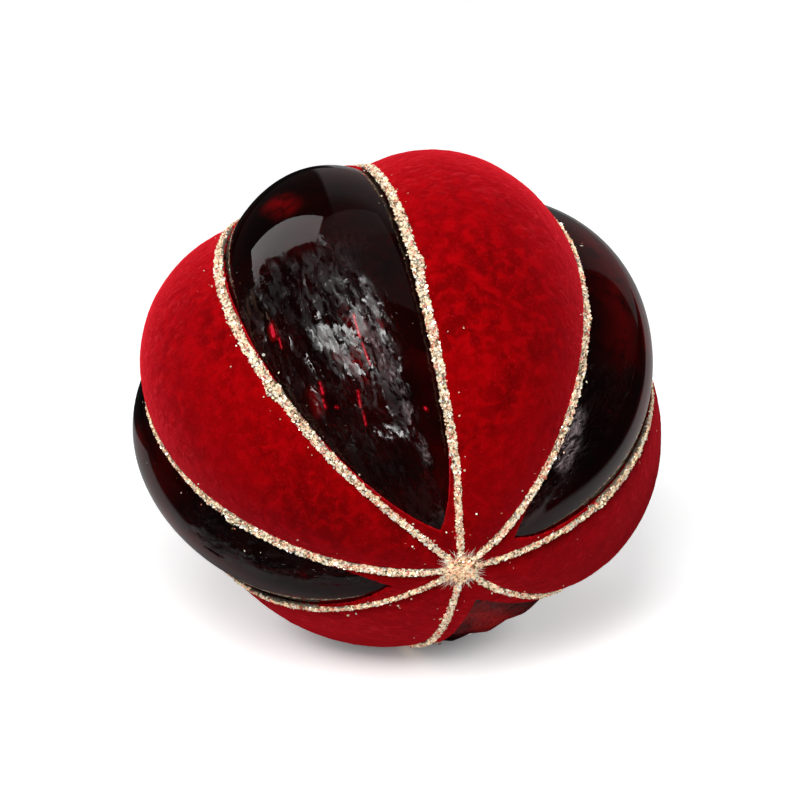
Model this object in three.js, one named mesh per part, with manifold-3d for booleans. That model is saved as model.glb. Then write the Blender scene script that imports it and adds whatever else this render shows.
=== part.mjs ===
// A blown glass christmas bauble in eight lobes, four flocked and four with teardrop windows of bare glass.
// Millimetres, +Z up. It lies on its side on a surface at z = 0, its bottom pole towards -Y.
import * as THREE from "three";
import { mergeVertices } from "three/addons/utils/BufferGeometryUtils.js";
import Module from "manifold-3d";

// Driving sizes of the blown body. Heights are from its widest level.
const valleyRadius = 46;
const bottomHeight = 46.3;
const shoulderHeight = 41.1;
const roundness = 1.98;
const glassWall = 1.2;

// The lobes, one value each, from lobe 1 to lobe 8. The glass is blown free, so no two are alike.
const lobeSwells = [4.2, 4.0, 4.3, 6.5, 2.4, 1.7, 4.8, 3.8];
// How much fuller each lobe is towards its second valley, as a share of its swell.
const lobeSkews = [0.14, 0.12, -0.02, 0.34, -0.02, -0.33, 0.37, -0.32];
// How far each valley stands out past the valley radius at its widest. Valley 1 is the start of lobe 1.
const valleyReaches = [-0.1, -1.2, -1.9, 1.2, 0.9, 0.7, -0.8, 0.8];
// How far each valley is turned from even spacing, in degrees.
const valleyTurns = [-3.4, -3.0, 1.1, -4.4, -0.7, 3.4, 9.6, 1.4];
// Above 1, the lobes are fullest nearer the neck than the bottom.
const swellPeak = 1.29;

// Flock and glitter on the glass.
const seatGap = 0.35;
const flockThickness = 0.55;
const beadWidth = 2.4;
const beadCrest = 0.6;
const beadClearance = 0.3;
const rosetteRadius = 4.3;
const rosetteHeight = 1.7;
const rosetteNotch = 0.7;
// Height of the rosette's shoulder, as a share of its crown's.
const rosetteShoulder = 0.9;

// The window in each glass lobe: the flock round it is wide at the tip and narrow along the sides.
const borderAtTip = 2.9;
const borderAtSide = 0.9;
const borderTaper = 0.35;
const windowRoundFrom = 118;
const windowTop = 147;

// Neck, cap and hanger, on the axis above the shoulder.
const neckRadius = 6.5;
const neckWall = 1.1;
const neckHeight = 6.5;
const capClearance = 0.35;
const capWall = 0.6;
const capDome = 0.9;
const skirtFlare = 2.0;
const skirtFlutes = 16;
const fluteDepth = 0.45;
// How much of a flute's wave goes up and down at the skirt's edge, and how much of it reaches the throat.
const fluteRise = 0.6;
const fluteAtThroat = 0.4;
// Heights on the cap's wall, as shares of the rise from its skirt to its plate.
const ribLevel = 0.5;
const throatLevel = 0.3;
const boreLevel = 0.42;
const ribProud = 0.48;
const throatProud = 0.2;
const wireDiameter = 1.0;
const wireHoleDiameter = 1.7;
const legSpacing = 4.8;
const legLength = 17;
const legClearance = 0.4;
const eyeInnerDiameter = 7.4;
const eyeThroat = 3.8;
const eyeRise = 7.0;
// How the hanger's legs spring apart below the cap: levels are shares of the leg's length.
const bendLevel = 0.25;
const splayLevel = 0.6;
const toeLength = 2;
const toeTuck = 0.8;

// How the bauble lies: its axis tipped from upright, then the body turned on that axis, in degrees.
const lyingTip = -66.3;
const bodySpin = -137.62;

// Fineness of the meshes.
const stepsAcrossLobe = 8;
const stepsAlongBody = 23;
const stepsInside = 13;
const stepsAlongFlock = 18;
const stepsAlongBead = 20;
const stepsPerFlute = 4;
const stepsRoundEye = 12;
const stepsAlongWire = 60;

const lobeCount = lobeSwells.length;
const flockTop = seatGap + flockThickness;
const neckBoreRadius = neckRadius - neckWall;
const capInnerRadius = neckRadius + capClearance;
const capOuterRadius = capInnerRadius + capWall;
const skirtRadius = capOuterRadius + skirtFlare;
const rad = THREE.MathUtils.degToRad;
// Two angles closer than this are one, and so are two points of a solid.
const sameAngle = 1e-6;
const samePoint = 1e-4;
// The glass keeps at least this share of a lobe between its edge points near the poles.
const leastFlockShare = 0.3;

const wasm = await Module();
wasm.setup();

// The body as a formula

// Angle round the axis of a valley, counted on past the last one.
function valleyAngle(valley) {
  return rad((360 / lobeCount) * valley + valleyTurns[valley % lobeCount]);
}

function lobeHalfAngle(lobe) {
  return (valleyAngle(lobe + 1) - valleyAngle(lobe)) / 2;
}

// Distance from the centre at polar angle t from the bottom pole, and s from -1 to 1 across a lobe.
function bodyRadius(t, lobe, s) {
  const height = t < Math.PI / 2 ? bottomHeight : shoulderHeight;
  const out = Math.abs(Math.sin(t) / valleyRadius) ** roundness;
  const up = Math.abs(Math.cos(t) / height) ** roundness;
  const reach = (valleyReaches[lobe] * (1 - s) + valleyReaches[(lobe + 1) % lobeCount] * (1 + s)) / 2;
  const stretch = 1 + (reach / valleyRadius) * Math.sin(t) ** 2;
  const swell = lobeSwells[lobe] * Math.sin(Math.PI * (t / Math.PI) ** swellPeak);
  return (out + up) ** (-1 / roundness) * stretch + swell * (1 - s * s) * (1 + lobeSkews[lobe] * s);
}

// A point on the body, lifted off the glass along the line from the centre.
function bodyPoint(t, lobe, s, lift) {
  const middle = (valleyAngle(lobe) + valleyAngle(lobe + 1)) / 2;
  const turn = middle + s * lobeHalfAngle(lobe);
  const length = bodyRadius(t, lobe, s) + lift;
  const out = length * Math.sin(t);
  return new THREE.Vector3(out * Math.cos(turn), out * Math.sin(turn), -length * Math.cos(t));
}

// The value between low and high where a rising function passes zero.
function solve(rising, low, high) {
  for (let i = 0; i < 50; i++) {
    const middle = (low + high) / 2;
    if (rising(middle) > 0) high = middle;
    else low = middle;
  }
  return (low + high) / 2;
}

// Polar angle where a lobe reaches a distance from the axis, near the bottom pole or near the neck.
function angleBelow(distance, lobe, s) {
  return solve((t) => bodyRadius(t, lobe, s) * Math.sin(t) - distance, 0, Math.PI / 2);
}

function angleAbove(distance, lobe, s) {
  return solve((t) => distance - bodyRadius(t, lobe, s) * Math.sin(t), Math.PI / 2, Math.PI);
}

// Half the width of a lobe along the glass, and the part of it that the flock covers beside the beads.
function lobeHalfWidth(t, lobe) {
  const valleys = (bodyRadius(t, lobe, -1) + bodyRadius(t, lobe, 1)) / 2;
  return valleys * Math.sin(t) * lobeHalfAngle(lobe);
}

function flockHalfWidth(t, lobe) {
  return lobeHalfWidth(t, lobe) - beadWidth / 2 - beadClearance;
}

// Half the width of the bare window, which closes to a point below and to a round end above.
function windowHalfWidth(t, lobe, tip) {
  const border = borderAtSide + (borderAtTip - borderAtSide) * Math.exp((tip - t) / borderTaper);
  const along = (t - rad(windowRoundFrom)) / rad(windowTop - windowRoundFrom);
  const roundEnd = along > 0 ? Math.sqrt(Math.max(0, 1 - along * along)) : 1;
  return Math.max(0, flockHalfWidth(t, lobe) - border) * roundEnd;
}

// Solids from rings and skins

function meshGeometry(points, triangles) {
  const geometry = new THREE.BufferGeometry();
  geometry.setAttribute("position", new THREE.Float32BufferAttribute(points.flatMap((p) => p.toArray()), 3));
  geometry.setIndex(triangles);
  return geometry;
}

// A closed solid through rings of equal count, ended by a fan to one point at each end.
function loft(first, rings, last) {
  const count = rings[0].length;
  const points = [first, ...rings.flat(), last];
  const at = (ring, i) => 1 + ring * count + (i % count);
  const triangles = [];
  for (let i = 0; i < count; i++) {
    triangles.push(0, at(0, i + 1), at(0, i));
    triangles.push(points.length - 1, at(rings.length - 1, i), at(rings.length - 1, i + 1));
    for (let ring = 0; ring + 1 < rings.length; ring++) {
      triangles.push(at(ring, i), at(ring, i + 1), at(ring + 1, i));
      triangles.push(at(ring, i + 1), at(ring + 1, i + 1), at(ring + 1, i));
    }
  }
  return meshGeometry(points, triangles);
}

// A skin of even thickness over part of a lobe. Each grid is rows of [t, s], each row running towards more s.
function skin(lobe, grids) {
  const spots = [];
  const ids = new Map();
  const idOf = ([t, s]) => {
    const key = t.toFixed(7) + " " + s.toFixed(7);
    if (!ids.has(key)) {
      ids.set(key, spots.length);
      spots.push([t, s]);
    }
    return ids.get(key);
  };
  const faces = [];
  for (const grid of grids) {
    for (let row = 0; row + 1 < grid.length; row++) {
      for (let i = 0; i + 1 < grid[row].length; i++) {
        const [a, b] = [idOf(grid[row][i]), idOf(grid[row][i + 1])];
        const [c, d] = [idOf(grid[row + 1][i + 1]), idOf(grid[row + 1][i])];
        faces.push([a, b, d], [b, c, d]);
      }
    }
  }
  const whole = faces.filter(([a, b, c]) => a !== b && b !== c && c !== a);
  const lower = spots.length;
  const edges = new Set(whole.flatMap(([a, b, c]) => [a + ">" + b, b + ">" + c, c + ">" + a]));
  const triangles = [];
  for (const [a, b, c] of whole) {
    triangles.push(a, b, c, lower + a, lower + c, lower + b);
    for (const [from, to] of [[a, b], [b, c], [c, a]]) {
      if (edges.has(to + ">" + from)) continue;
      triangles.push(to, from, lower + from, to, lower + from, lower + to);
    }
  }
  const lifted = (lift) => spots.map(([t, s]) => bodyPoint(t, lobe, s, lift));
  return meshGeometry([...lifted(flockTop), ...lifted(seatGap)], triangles);
}

function evenSteps(from, to, steps) {
  return Array.from({ length: steps + 1 }, (_, i) => from + ((to - from) * i) / steps);
}

// Steps that crowd together at one end or both, as round ends need.
function crowdedSteps(from, to, steps) {
  return evenSteps(0, Math.PI, steps).map((a) => from + ((to - from) * (1 - Math.cos(a))) / 2);
}

// Booleans

function solidOf(geometry) {
  const bare = geometry.clone();
  bare.deleteAttribute("normal");
  bare.deleteAttribute("uv");
  const merged = mergeVertices(bare, samePoint);
  return new wasm.Manifold(
    new wasm.Mesh({
      numProp: 3,
      vertProperties: merged.attributes.position.array,
      triVerts: new Uint32Array(merged.index.array),
    }),
  );
}

function geometryOf(solid) {
  const mesh = solid.getMesh();
  const geometry = new THREE.BufferGeometry();
  geometry.setAttribute("position", new THREE.BufferAttribute(mesh.vertProperties, 3));
  geometry.setIndex(new THREE.BufferAttribute(mesh.triVerts, 1));
  return geometry;
}

// The glass body

// One ring round all the lobes. Its points follow the edges of the flock, so that both have the same facets.
function bodyRing(t, lift) {
  const ring = [];
  for (let lobe = 0; lobe < lobeCount; lobe++) {
    ring.push(bodyPoint(t, lobe, -1, lift));
    const edge = Math.max(leastFlockShare, flockHalfWidth(t, lobe) / lobeHalfWidth(t, lobe));
    for (const s of evenSteps(-edge, edge, stepsAcrossLobe - 2)) ring.push(bodyPoint(t, lobe, s, lift));
  }
  return ring;
}

// A level ring round the axis whose points stand over those of another ring.
function levelRing(ring, radius, z) {
  return ring.map((p) => new THREE.Vector3(p.x, p.y, 0).setLength(radius).setZ(z));
}

const neckFoot = angleAbove(neckRadius + glassWall, 0, 1);
const neckFootZ = bodyPoint(neckFoot, 0, 1, 0).z;
const neckRimZ = neckFootZ + neckHeight;

function glassBody() {
  const outside = evenSteps(0, neckFoot, stepsAlongBody).slice(1).map((t) => bodyRing(t, 0));
  const boreFoot = angleAbove(neckRadius, 0, 1);
  const inside = evenSteps(0, boreFoot, stepsInside).slice(1).map((t) => bodyRing(t, -glassWall));
  const top = outside[outside.length - 1];
  const neck = [
    levelRing(top, neckRadius, neckFootZ + glassWall / 2),
    levelRing(top, neckRadius, neckRimZ),
    levelRing(top, neckBoreRadius, neckRimZ),
    levelRing(top, neckBoreRadius, neckFootZ - glassWall / 2),
  ];
  const poleOutside = new THREE.Vector3(0, 0, -bottomHeight);
  const poleInside = new THREE.Vector3(0, 0, glassWall - bottomHeight);
  return loft(poleOutside, [...outside, ...neck, ...inside.reverse()], poleInside);
}

// Flock

// Where the flock of a lobe starts above the rosette and ends below the cap's skirt.
function flockStart(lobe) {
  const roomForWidth = (beadWidth / 2 + 2 * beadClearance) / lobeHalfAngle(lobe);
  return angleBelow(Math.max(rosetteRadius + beadClearance, roomForWidth), lobe, 0);
}

function flockEnd(lobe) {
  return angleAbove(skirtRadius + fluteDepth + beadClearance, lobe, 0);
}

function velvetLobe(lobe) {
  const rows = evenSteps(flockStart(lobe), flockEnd(lobe), stepsAlongFlock).map((t) => {
    const edge = flockHalfWidth(t, lobe) / lobeHalfWidth(t, lobe);
    return evenSteps(-edge, edge, stepsAcrossLobe - 2).map((s) => [t, s]);
  });
  return skin(lobe, [rows]);
}

function velvetBorder(lobe) {
  const start = flockStart(lobe);
  const end = flockEnd(lobe);
  const tip = solve((t) => flockHalfWidth(t, lobe) - borderAtTip, start, Math.PI / 2);
  const top = rad(windowTop);
  const levels = [
    ...evenSteps(start, tip, 3).slice(0, -1),
    ...crowdedSteps(tip, top, stepsAlongFlock),
    ...evenSteps(top, end, 2).slice(1),
  ];
  const side = (sign) =>
    levels.map((t) => {
      const whole = lobeHalfWidth(t, lobe);
      const besideWindow = t - tip > sameAngle && top - t > sameAngle;
      const bare = besideWindow ? windowHalfWidth(t, lobe, tip) / whole : 0;
      const row = evenSteps(bare, flockHalfWidth(t, lobe) / whole, 2).map((s) => [t, sign * s]);
      return sign > 0 ? row : row.reverse();
    });
  return skin(lobe, [side(-1), side(1)]);
}

// Glitter

// A bead of glitter along a valley. It fills the groove and stands proud of the flock on both sides.
function glitterLine(valley) {
  const left = (valley + lobeCount - 1) % lobeCount;
  const right = valley;
  const startRadius = rosetteRadius + beadClearance;
  const start = angleBelow(startRadius, right, -1);
  const end = angleAbove(skirtRadius + fluteDepth + beadClearance, right, -1);
  const rings = evenSteps(start, end, stepsAlongBead).map((t) => {
    const leftEdge = 1 - beadWidth / 2 / lobeHalfWidth(t, left);
    const rightEdge = beadWidth / 2 / lobeHalfWidth(t, right) - 1;
    const crest = flockTop + beadCrest;
    return [
      bodyPoint(t, right, rightEdge, seatGap),
      bodyPoint(t, right, -1, seatGap),
      bodyPoint(t, left, leftEdge, seatGap),
      bodyPoint(t, left, leftEdge, flockTop),
      bodyPoint(t, left, (leftEdge + 1) / 2, crest),
      bodyPoint(t, right, (rightEdge - 1) / 2, crest),
      bodyPoint(t, right, rightEdge, flockTop),
    ];
  });
  return loft(middleOf(rings[0]), rings, middleOf(rings[rings.length - 1]));
}

function middleOf(ring) {
  const sum = ring.reduce((total, p) => total.add(p), new THREE.Vector3());
  return sum.divideScalar(ring.length);
}

// The rosette is a low dome with a notched edge, a long point for each bead and one between.
function glitterRosette() {
  const points = 4 * lobeCount;
  const ring = (share, lift) =>
    Array.from({ length: points }, (_, i) => {
      const radius = share * (rosetteRadius - (i % 2) * rosetteNotch);
      const lobe = Math.floor(i / 4);
      const s = ((i % 4) - 2) / 2;
      return bodyPoint(angleBelow(radius, lobe, s), lobe, s, lift);
    });
  const under = new THREE.Vector3(0, 0, -bottomHeight - seatGap);
  const crown = new THREE.Vector3(0, 0, -bottomHeight - rosetteHeight);
  const rings = [
    ring(0.5, rosetteHeight * rosetteShoulder),
    ring(1, (seatGap + rosetteHeight) / 2),
    ring(1, seatGap),
  ];
  return loft(crown, rings, under);
}

// Cap and hanger

const plateUnderZ = neckRimZ + seatGap;
const plateTopZ = plateUnderZ + capWall;
// The skirt stands clear of the highest lobe under its edge.
const lobeTops = lobeSwells.map((_, lobe) => bodyPoint(angleAbove(capOuterRadius, lobe, 0), lobe, 0, 0).z);
const skirtZ = seatGap + Math.max(...lobeTops);
const holeOffset = legSpacing / 2;

// The cap is a turned cup with a rolled rib and a skirt that flares into flutes. Its outline is a list of
// radius, height and the share of the flutes' wave there.
function capShell() {
  const around = stepsPerFlute * skirtFlutes;
  const ring = ([radius, z, share]) =>
    evenSteps(0, 2 * Math.PI, around).slice(1).map((turn) => {
      const wave = Math.cos(skirtFlutes * turn) * share * fluteDepth;
      const out = radius + wave;
      return new THREE.Vector3(out * Math.cos(turn), out * Math.sin(turn), z + wave * fluteRise);
    });
  const rise = plateTopZ - skirtZ;
  const ribZ = skirtZ + rise * ribLevel;
  const throatZ = skirtZ + rise * throatLevel;
  const lipZ = skirtZ + capWall;
  const outside = [
    [skirtRadius, lipZ, 1],
    [capOuterRadius + throatProud, throatZ, fluteAtThroat],
    [capOuterRadius, ribZ - capWall, 0],
    [capOuterRadius + ribProud, ribZ, 0],
    [capOuterRadius, ribZ + capWall, 0],
    [capOuterRadius, plateTopZ - capWall, 0],
    [capInnerRadius, plateTopZ, 0],
    [capInnerRadius / 2, plateTopZ + capDome * 0.75, 0],
  ];
  const inside = [
    [capInnerRadius, plateUnderZ, 0],
    [capInnerRadius, skirtZ + rise * boreLevel, 0],
    [capInnerRadius + throatProud, throatZ - capWall / 2, fluteAtThroat],
    [skirtRadius - capWall / 4, skirtZ, 1],
  ];
  const crown = new THREE.Vector3(0, 0, plateTopZ + capDome);
  const under = new THREE.Vector3(0, 0, plateUnderZ);
  return loft(under, [...inside.map(ring), ...outside.map(ring)], crown);
}

function cap() {
  let solid = solidOf(capShell());
  const holeRadius = wireHoleDiameter / 2;
  for (const side of [-1, 1]) {
    const drill = new THREE.CylinderGeometry(holeRadius, holeRadius, 10 * capWall, 16);
    drill.rotateX(Math.PI / 2).translate(0, side * holeOffset, plateTopZ);
    solid = solid.subtract(solidOf(drill));
  }
  return geometryOf(solid);
}

// The hanger's centre line goes up one leg, round the eye and down the other, all in the YZ plane.
function hangerWire() {
  const eyeRadius = (eyeInnerDiameter + wireDiameter) / 2;
  const eyeZ = plateTopZ + capDome + eyeRise;
  const legOffset = neckBoreRadius - wireDiameter / 2 - legClearance;
  const halfGap = Math.asin(eyeThroat / 2 / eyeRadius);
  const leg = [
    [legOffset * toeTuck, plateTopZ - legLength],
    [legOffset, plateTopZ - legLength + toeLength],
    [legOffset, plateTopZ - legLength * splayLevel],
    [holeOffset, plateTopZ - legLength * bendLevel],
    [holeOffset, plateTopZ],
    [holeOffset, plateTopZ + capDome + capWall],
  ];
  const roundEye = evenSteps(halfGap, 2 * Math.PI - halfGap, stepsRoundEye);
  const eye = roundEye.map((a) => [eyeRadius * Math.sin(a), eyeZ - eyeRadius * Math.cos(a)]);
  const otherLeg = leg.map(([y, z]) => [-y, z]).reverse();
  const places = [...leg, ...eye, ...otherLeg].map(([y, z]) => new THREE.Vector3(0, y, z));
  const section = new THREE.Shape().absarc(0, 0, wireDiameter / 2, 0, 2 * Math.PI);
  return new THREE.ExtrudeGeometry(section, {
    curveSegments: 4,
    steps: stepsAlongWire,
    bevelEnabled: false,
    extrudePath: new THREE.CatmullRomCurve3(places),
  });
}

// Materials

const material = (color, roughness, metalness) =>
  new THREE.MeshStandardMaterial({ color, roughness, metalness });
const rubyGlass = () => material(0x1c0408, 0.06, 0.0);
const crimsonFlock = () => material(0xa8000c, 0.95, 0.0);
const paleGoldGlitter = () => material(0xd8c48a, 0.4, 0.6);
const goldMetal = () => material(0xc9a24e, 0.3, 1.0);

// The object

function addMesh(group, name, geometry, look) {
  const mesh = new THREE.Mesh(geometry, look);
  mesh.name = name;
  group.add(mesh);
}

const body = new THREE.Group();
addMesh(body, "glass_body", glassBody(), rubyGlass());
for (let pair = 0; pair < lobeCount / 2; pair++) {
  addMesh(body, "velvet_border_" + (pair + 1), velvetBorder(2 * pair), crimsonFlock());
  addMesh(body, "velvet_lobe_" + (pair + 1), velvetLobe(2 * pair + 1), crimsonFlock());
}
for (let valley = 0; valley < lobeCount; valley++) {
  addMesh(body, "glitter_line_" + (valley + 1), glitterLine(valley), paleGoldGlitter());
}
addMesh(body, "glitter_rosette", glitterRosette(), paleGoldGlitter());
body.rotation.z = rad(bodySpin);

const lying = new THREE.Group();
lying.add(body);
addMesh(lying, "cap", cap(), goldMetal());
addMesh(lying, "hanger_wire", hangerWire(), goldMetal());
lying.rotation.x = rad(lyingTip);

// Set down on z = 0, its middle over the origin.
const bauble = new THREE.Group();
bauble.add(lying);
bauble.updateMatrixWorld(true);
const box = new THREE.Box3().setFromObject(bauble, true);
const middle = box.getCenter(new THREE.Vector3());
lying.position.set(-middle.x, -middle.y, -box.min.z);

export default bauble;
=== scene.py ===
# %% [markdown]
# # A lobed glass bauble with flock and glitter
# The object is a ball of blown ruby glass in eight lobes, lying on a table. Velvet flock covers four lobes,
# the four between show the glass through a teardrop window, and a bead of glitter is piped along each valley.
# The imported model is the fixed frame. Every surface below is laid over it with the model's own formula, so
# the fine meshes sit where the plain solids are, apart from edges that run in under the glitter.

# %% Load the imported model
import math

import bpy
import numpy as np
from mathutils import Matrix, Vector


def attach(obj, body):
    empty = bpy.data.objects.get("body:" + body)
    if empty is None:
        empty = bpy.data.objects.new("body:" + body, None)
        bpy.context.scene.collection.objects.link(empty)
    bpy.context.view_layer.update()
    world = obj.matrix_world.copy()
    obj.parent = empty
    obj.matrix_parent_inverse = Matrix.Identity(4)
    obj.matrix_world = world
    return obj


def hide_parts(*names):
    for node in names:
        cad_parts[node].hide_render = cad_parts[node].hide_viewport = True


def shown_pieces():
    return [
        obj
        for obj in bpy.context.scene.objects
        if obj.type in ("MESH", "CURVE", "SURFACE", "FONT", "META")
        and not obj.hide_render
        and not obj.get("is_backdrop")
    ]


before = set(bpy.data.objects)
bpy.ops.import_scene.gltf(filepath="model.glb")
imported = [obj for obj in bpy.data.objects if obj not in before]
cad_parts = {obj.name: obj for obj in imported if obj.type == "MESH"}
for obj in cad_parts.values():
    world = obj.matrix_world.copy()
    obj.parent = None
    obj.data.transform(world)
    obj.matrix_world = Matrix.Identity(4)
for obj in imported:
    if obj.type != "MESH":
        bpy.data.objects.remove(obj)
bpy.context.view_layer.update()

# %% [markdown]
# ## The sizes of the blown body
# These are the model's driving sizes, in metres. The body is a squashed ball with a swell added on each lobe.
# A blower shapes the lobes by eye, so each has its own swell, fuller on one side, and each valley its own small
# turn and reach.

# %% Driving sizes
MM = 0.001
LOBES = 8
VALLEY_RADIUS = 46 * MM
BOTTOM_HEIGHT = 46.3 * MM
SHOULDER_HEIGHT = 41.1 * MM
ROUNDNESS = 1.98
GLASS_WALL = 1.2 * MM
LOBE_SWELLS = np.array([4.2, 4.0, 4.3, 6.5, 2.4, 1.7, 4.8, 3.8]) * MM
LOBE_SKEWS = [0.14, 0.12, -0.02, 0.34, -0.02, -0.33, 0.37, -0.32]
VALLEY_REACHES = np.array([-0.1, -1.2, -1.9, 1.2, 0.9, 0.7, -0.8, 0.8]) * MM
VALLEY_TURNS = [-3.4, -3.0, 1.1, -4.4, -0.7, 3.4, 9.6, 1.4]
SWELL_PEAK = 1.29

FLOCK_TOP = 0.9 * MM
BEAD_WIDTH = 2.4 * MM
BEAD_CREST = 0.6 * MM
BEAD_CLEARANCE = 0.3 * MM
ROSETTE_RADIUS = 4.3 * MM
BORDER_AT_SIDE = -0.85 * MM
# For each window lobe: the border at the window's tip, and how fast it narrows up the window's two sides.
BORDERS = {0: (2.5 * MM, 0.26, 0.14), 2: (2.3 * MM, 0.1, 0.09), 4: (3.2 * MM, 0.3, 0.6), 6: (2.7 * MM, 0.18, 0.16)}
WINDOW_ROUND_FROM = math.radians(118)
WINDOW_TOP = math.radians(147)

NECK_RADIUS = 6.5 * MM
NECK_WALL = 1.1 * MM
NECK_HEIGHT = 6.5 * MM
SEAT_GAP = 0.35 * MM
CAP_CLEARANCE = 0.35 * MM
CAP_WALL = 0.6 * MM
CAP_DOME = 0.9 * MM
SKIRT_FLARE = 2.0 * MM
SKIRT_FLUTES = 16
FLUTE_DEPTH = 0.45 * MM
CAP_RADIUS = NECK_RADIUS + CAP_CLEARANCE + CAP_WALL
SKIRT_RADIUS = CAP_RADIUS + SKIRT_FLARE

LYING_TIP = math.radians(-66.3)
BODY_SPIN = math.radians(-137.62)

# %% [markdown]
# ## Where the body lies
# On the bench the body stands on its bottom pole. The model turns it on its own axis, tips it over and sets it
# down. The centre is found from the frame: it is one bottom height up the axis from the lowest glass vertex.

# %% Turn, tip and centre
def turned(angle, axis):
    """A rotation matrix about X (axis 0) or Z (axis 2)."""
    c, s = math.cos(angle), math.sin(angle)
    matrix = np.eye(3)
    a, b = [(1, 2), (2, 0), (0, 1)][axis]
    matrix[a, a], matrix[a, b], matrix[b, a], matrix[b, b] = c, -s, s, c
    return matrix


TIP = turned(LYING_TIP, 0)
SPIN = turned(BODY_SPIN, 2)
UP_THE_AXIS = TIP @ np.array([0.0, 0.0, 1.0])


def vertices_of(obj):
    """The vertices of a mesh object as an array, one row each."""
    flat = np.zeros(3 * len(obj.data.vertices), np.float32)
    obj.data.vertices.foreach_get("co", flat)
    return flat.reshape(-1, 3).astype(float)


glass_vertices = vertices_of(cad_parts["glass_body"])
pole = glass_vertices[np.argmin(glass_vertices @ UP_THE_AXIS)]
CENTRE = pole + UP_THE_AXIS * BOTTOM_HEIGHT


def laid(points, spun=True):
    """Points of the upright bauble, carried to where it lies: spun on its axis, tipped, and moved to its centre."""
    upright = points @ SPIN.T if spun else points
    return upright @ TIP.T + CENTRE


print("centre of the body, mm:", np.round(CENTRE * 1000, 3))

# %% [markdown]
# ## The body as a formula
# Every surface is a function of the polar angle t, counted from the bottom pole, and of s, which runs from -1
# to 1 across one lobe. A lift moves the surface off the glass along the line from the centre.

# %% Points on the body
def stacked(*coordinates):
    """Coordinates given one by one, as one array of points."""
    return np.stack(np.broadcast_arrays(*coordinates), axis=-1)


def round_axis(radius, turn, z):
    """Points at a radius and a turn round the upright axis, and at a height."""
    return stacked(radius * np.cos(turn), radius * np.sin(turn), z)


def turns(count):
    """Angles that share one full turn evenly."""
    return np.linspace(0, 2 * np.pi, count + 1)[:-1]


def unit(vectors):
    """Vectors scaled to a length of one."""
    return vectors / np.linalg.norm(vectors, axis=-1, keepdims=True)


def valley_angle(valley):
    """An even share of a turn for each valley, plus that valley's own small turn. It counts on past the last."""
    return math.radians(360 / LOBES * valley + VALLEY_TURNS[valley % LOBES])


def half_angle(lobe):
    """Half the angle between a lobe's two valleys."""
    return (valley_angle(lobe + 1) - valley_angle(lobe)) / 2


def body_radius(t, lobe, s):
    """A superellipse, stretched at its waist by the two valleys' reaches, plus a swell that is nil at the valleys."""
    height = np.where(t < np.pi / 2, BOTTOM_HEIGHT, SHOULDER_HEIGHT)
    out = np.abs(np.sin(t) / VALLEY_RADIUS) ** ROUNDNESS
    up = np.abs(np.cos(t) / height) ** ROUNDNESS
    reach = (VALLEY_REACHES[lobe] * (1 - s) + VALLEY_REACHES[(lobe + 1) % LOBES] * (1 + s)) / 2
    even = (out + up) ** (-1 / ROUNDNESS) * (1 + reach / VALLEY_RADIUS * np.sin(t) ** 2)
    swell = LOBE_SWELLS[lobe] * np.sin(np.pi * (t / np.pi) ** SWELL_PEAK)
    return even + swell * (1 - s * s) * (1 + LOBE_SKEWS[lobe] * s)


def body_point(t, lobe, s, lift=0.0):
    """The point at polar angle t and share s of a lobe, lifted off the glass, where the bauble lies."""
    t, s, lift = np.broadcast_arrays(t, s, lift)
    turn = (valley_angle(lobe) + valley_angle(lobe + 1)) / 2 + s * half_angle(lobe)
    length = body_radius(t, lobe, s) + lift
    return laid(round_axis(length * np.sin(t), turn, -length * np.cos(t)))


def body_normal(t, lobe, s):
    """The outward unit normal of the glass, from the cross product of a small step across and one along."""
    step = 1e-4
    along = body_point(t + step, lobe, s) - body_point(t - step, lobe, s)
    across = body_point(t, lobe, s + step) - body_point(t, lobe, s - step)
    return -unit(np.cross(across, along))


def lobe_half_width(t, lobe):
    """Half the width of a lobe, along the glass."""
    valleys = (body_radius(t, lobe, -1.0) + body_radius(t, lobe, 1.0)) / 2
    return valleys * np.sin(t) * half_angle(lobe)


def solve(rising, low, high):
    """The value between low and high where a rising function passes zero, by halving."""
    for _ in range(50):
        middle = (low + high) / 2
        low, high = (low, middle) if rising(middle) > 0 else (middle, high)
    return (low + high) / 2


def angle_below(distance, lobe, s):
    """The polar angle near the bottom pole where a lobe reaches a distance from the axis."""
    return solve(lambda t: body_radius(t, lobe, s) * math.sin(t) - distance, 0, math.pi / 2)


def angle_above(distance, lobe, s):
    """The polar angle near the neck where a lobe reaches a distance from the axis."""
    return solve(lambda t: distance - body_radius(t, lobe, s) * math.sin(t), math.pi / 2, math.pi)


NECK_FOOT = angle_above(NECK_RADIUS + GLASS_WALL, 0, 1.0)
NECK_FOOT_Z = -float(body_radius(NECK_FOOT, 0, 1.0)) * math.cos(NECK_FOOT)
NECK_RIM_Z = NECK_FOOT_Z + NECK_HEIGHT
print("height of the neck's rim over the centre, mm:", round(NECK_RIM_Z * 1000, 2))

# %% [markdown]
# ## Helpers: even noise, grids and meshes
# Hand-made surfaces are never quite even, so most shapes add a little smooth noise. It is value noise: random
# values on a cubic lattice, blended between the corners of each cube. It is hashed from whole numbers, so it is
# the same on every run. Meshes are made from whole arrays of points and triangles.

# %% Noise, grids and mesh objects
def hashed(cell, seed):
    """A random value from -1 to 1 for each whole-numbered cell of a lattice, the same on every run."""
    mixed = cell[..., 0] * 73856093 ^ cell[..., 1] * 19349663 ^ cell[..., 2] * 83492791 ^ seed * 6542989
    mixed = (mixed ^ mixed >> 13) * 1274126177 & 0xFFFFFFFF
    return (mixed >> 8 & 0xFFFF) / 32767.5 - 1


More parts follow.
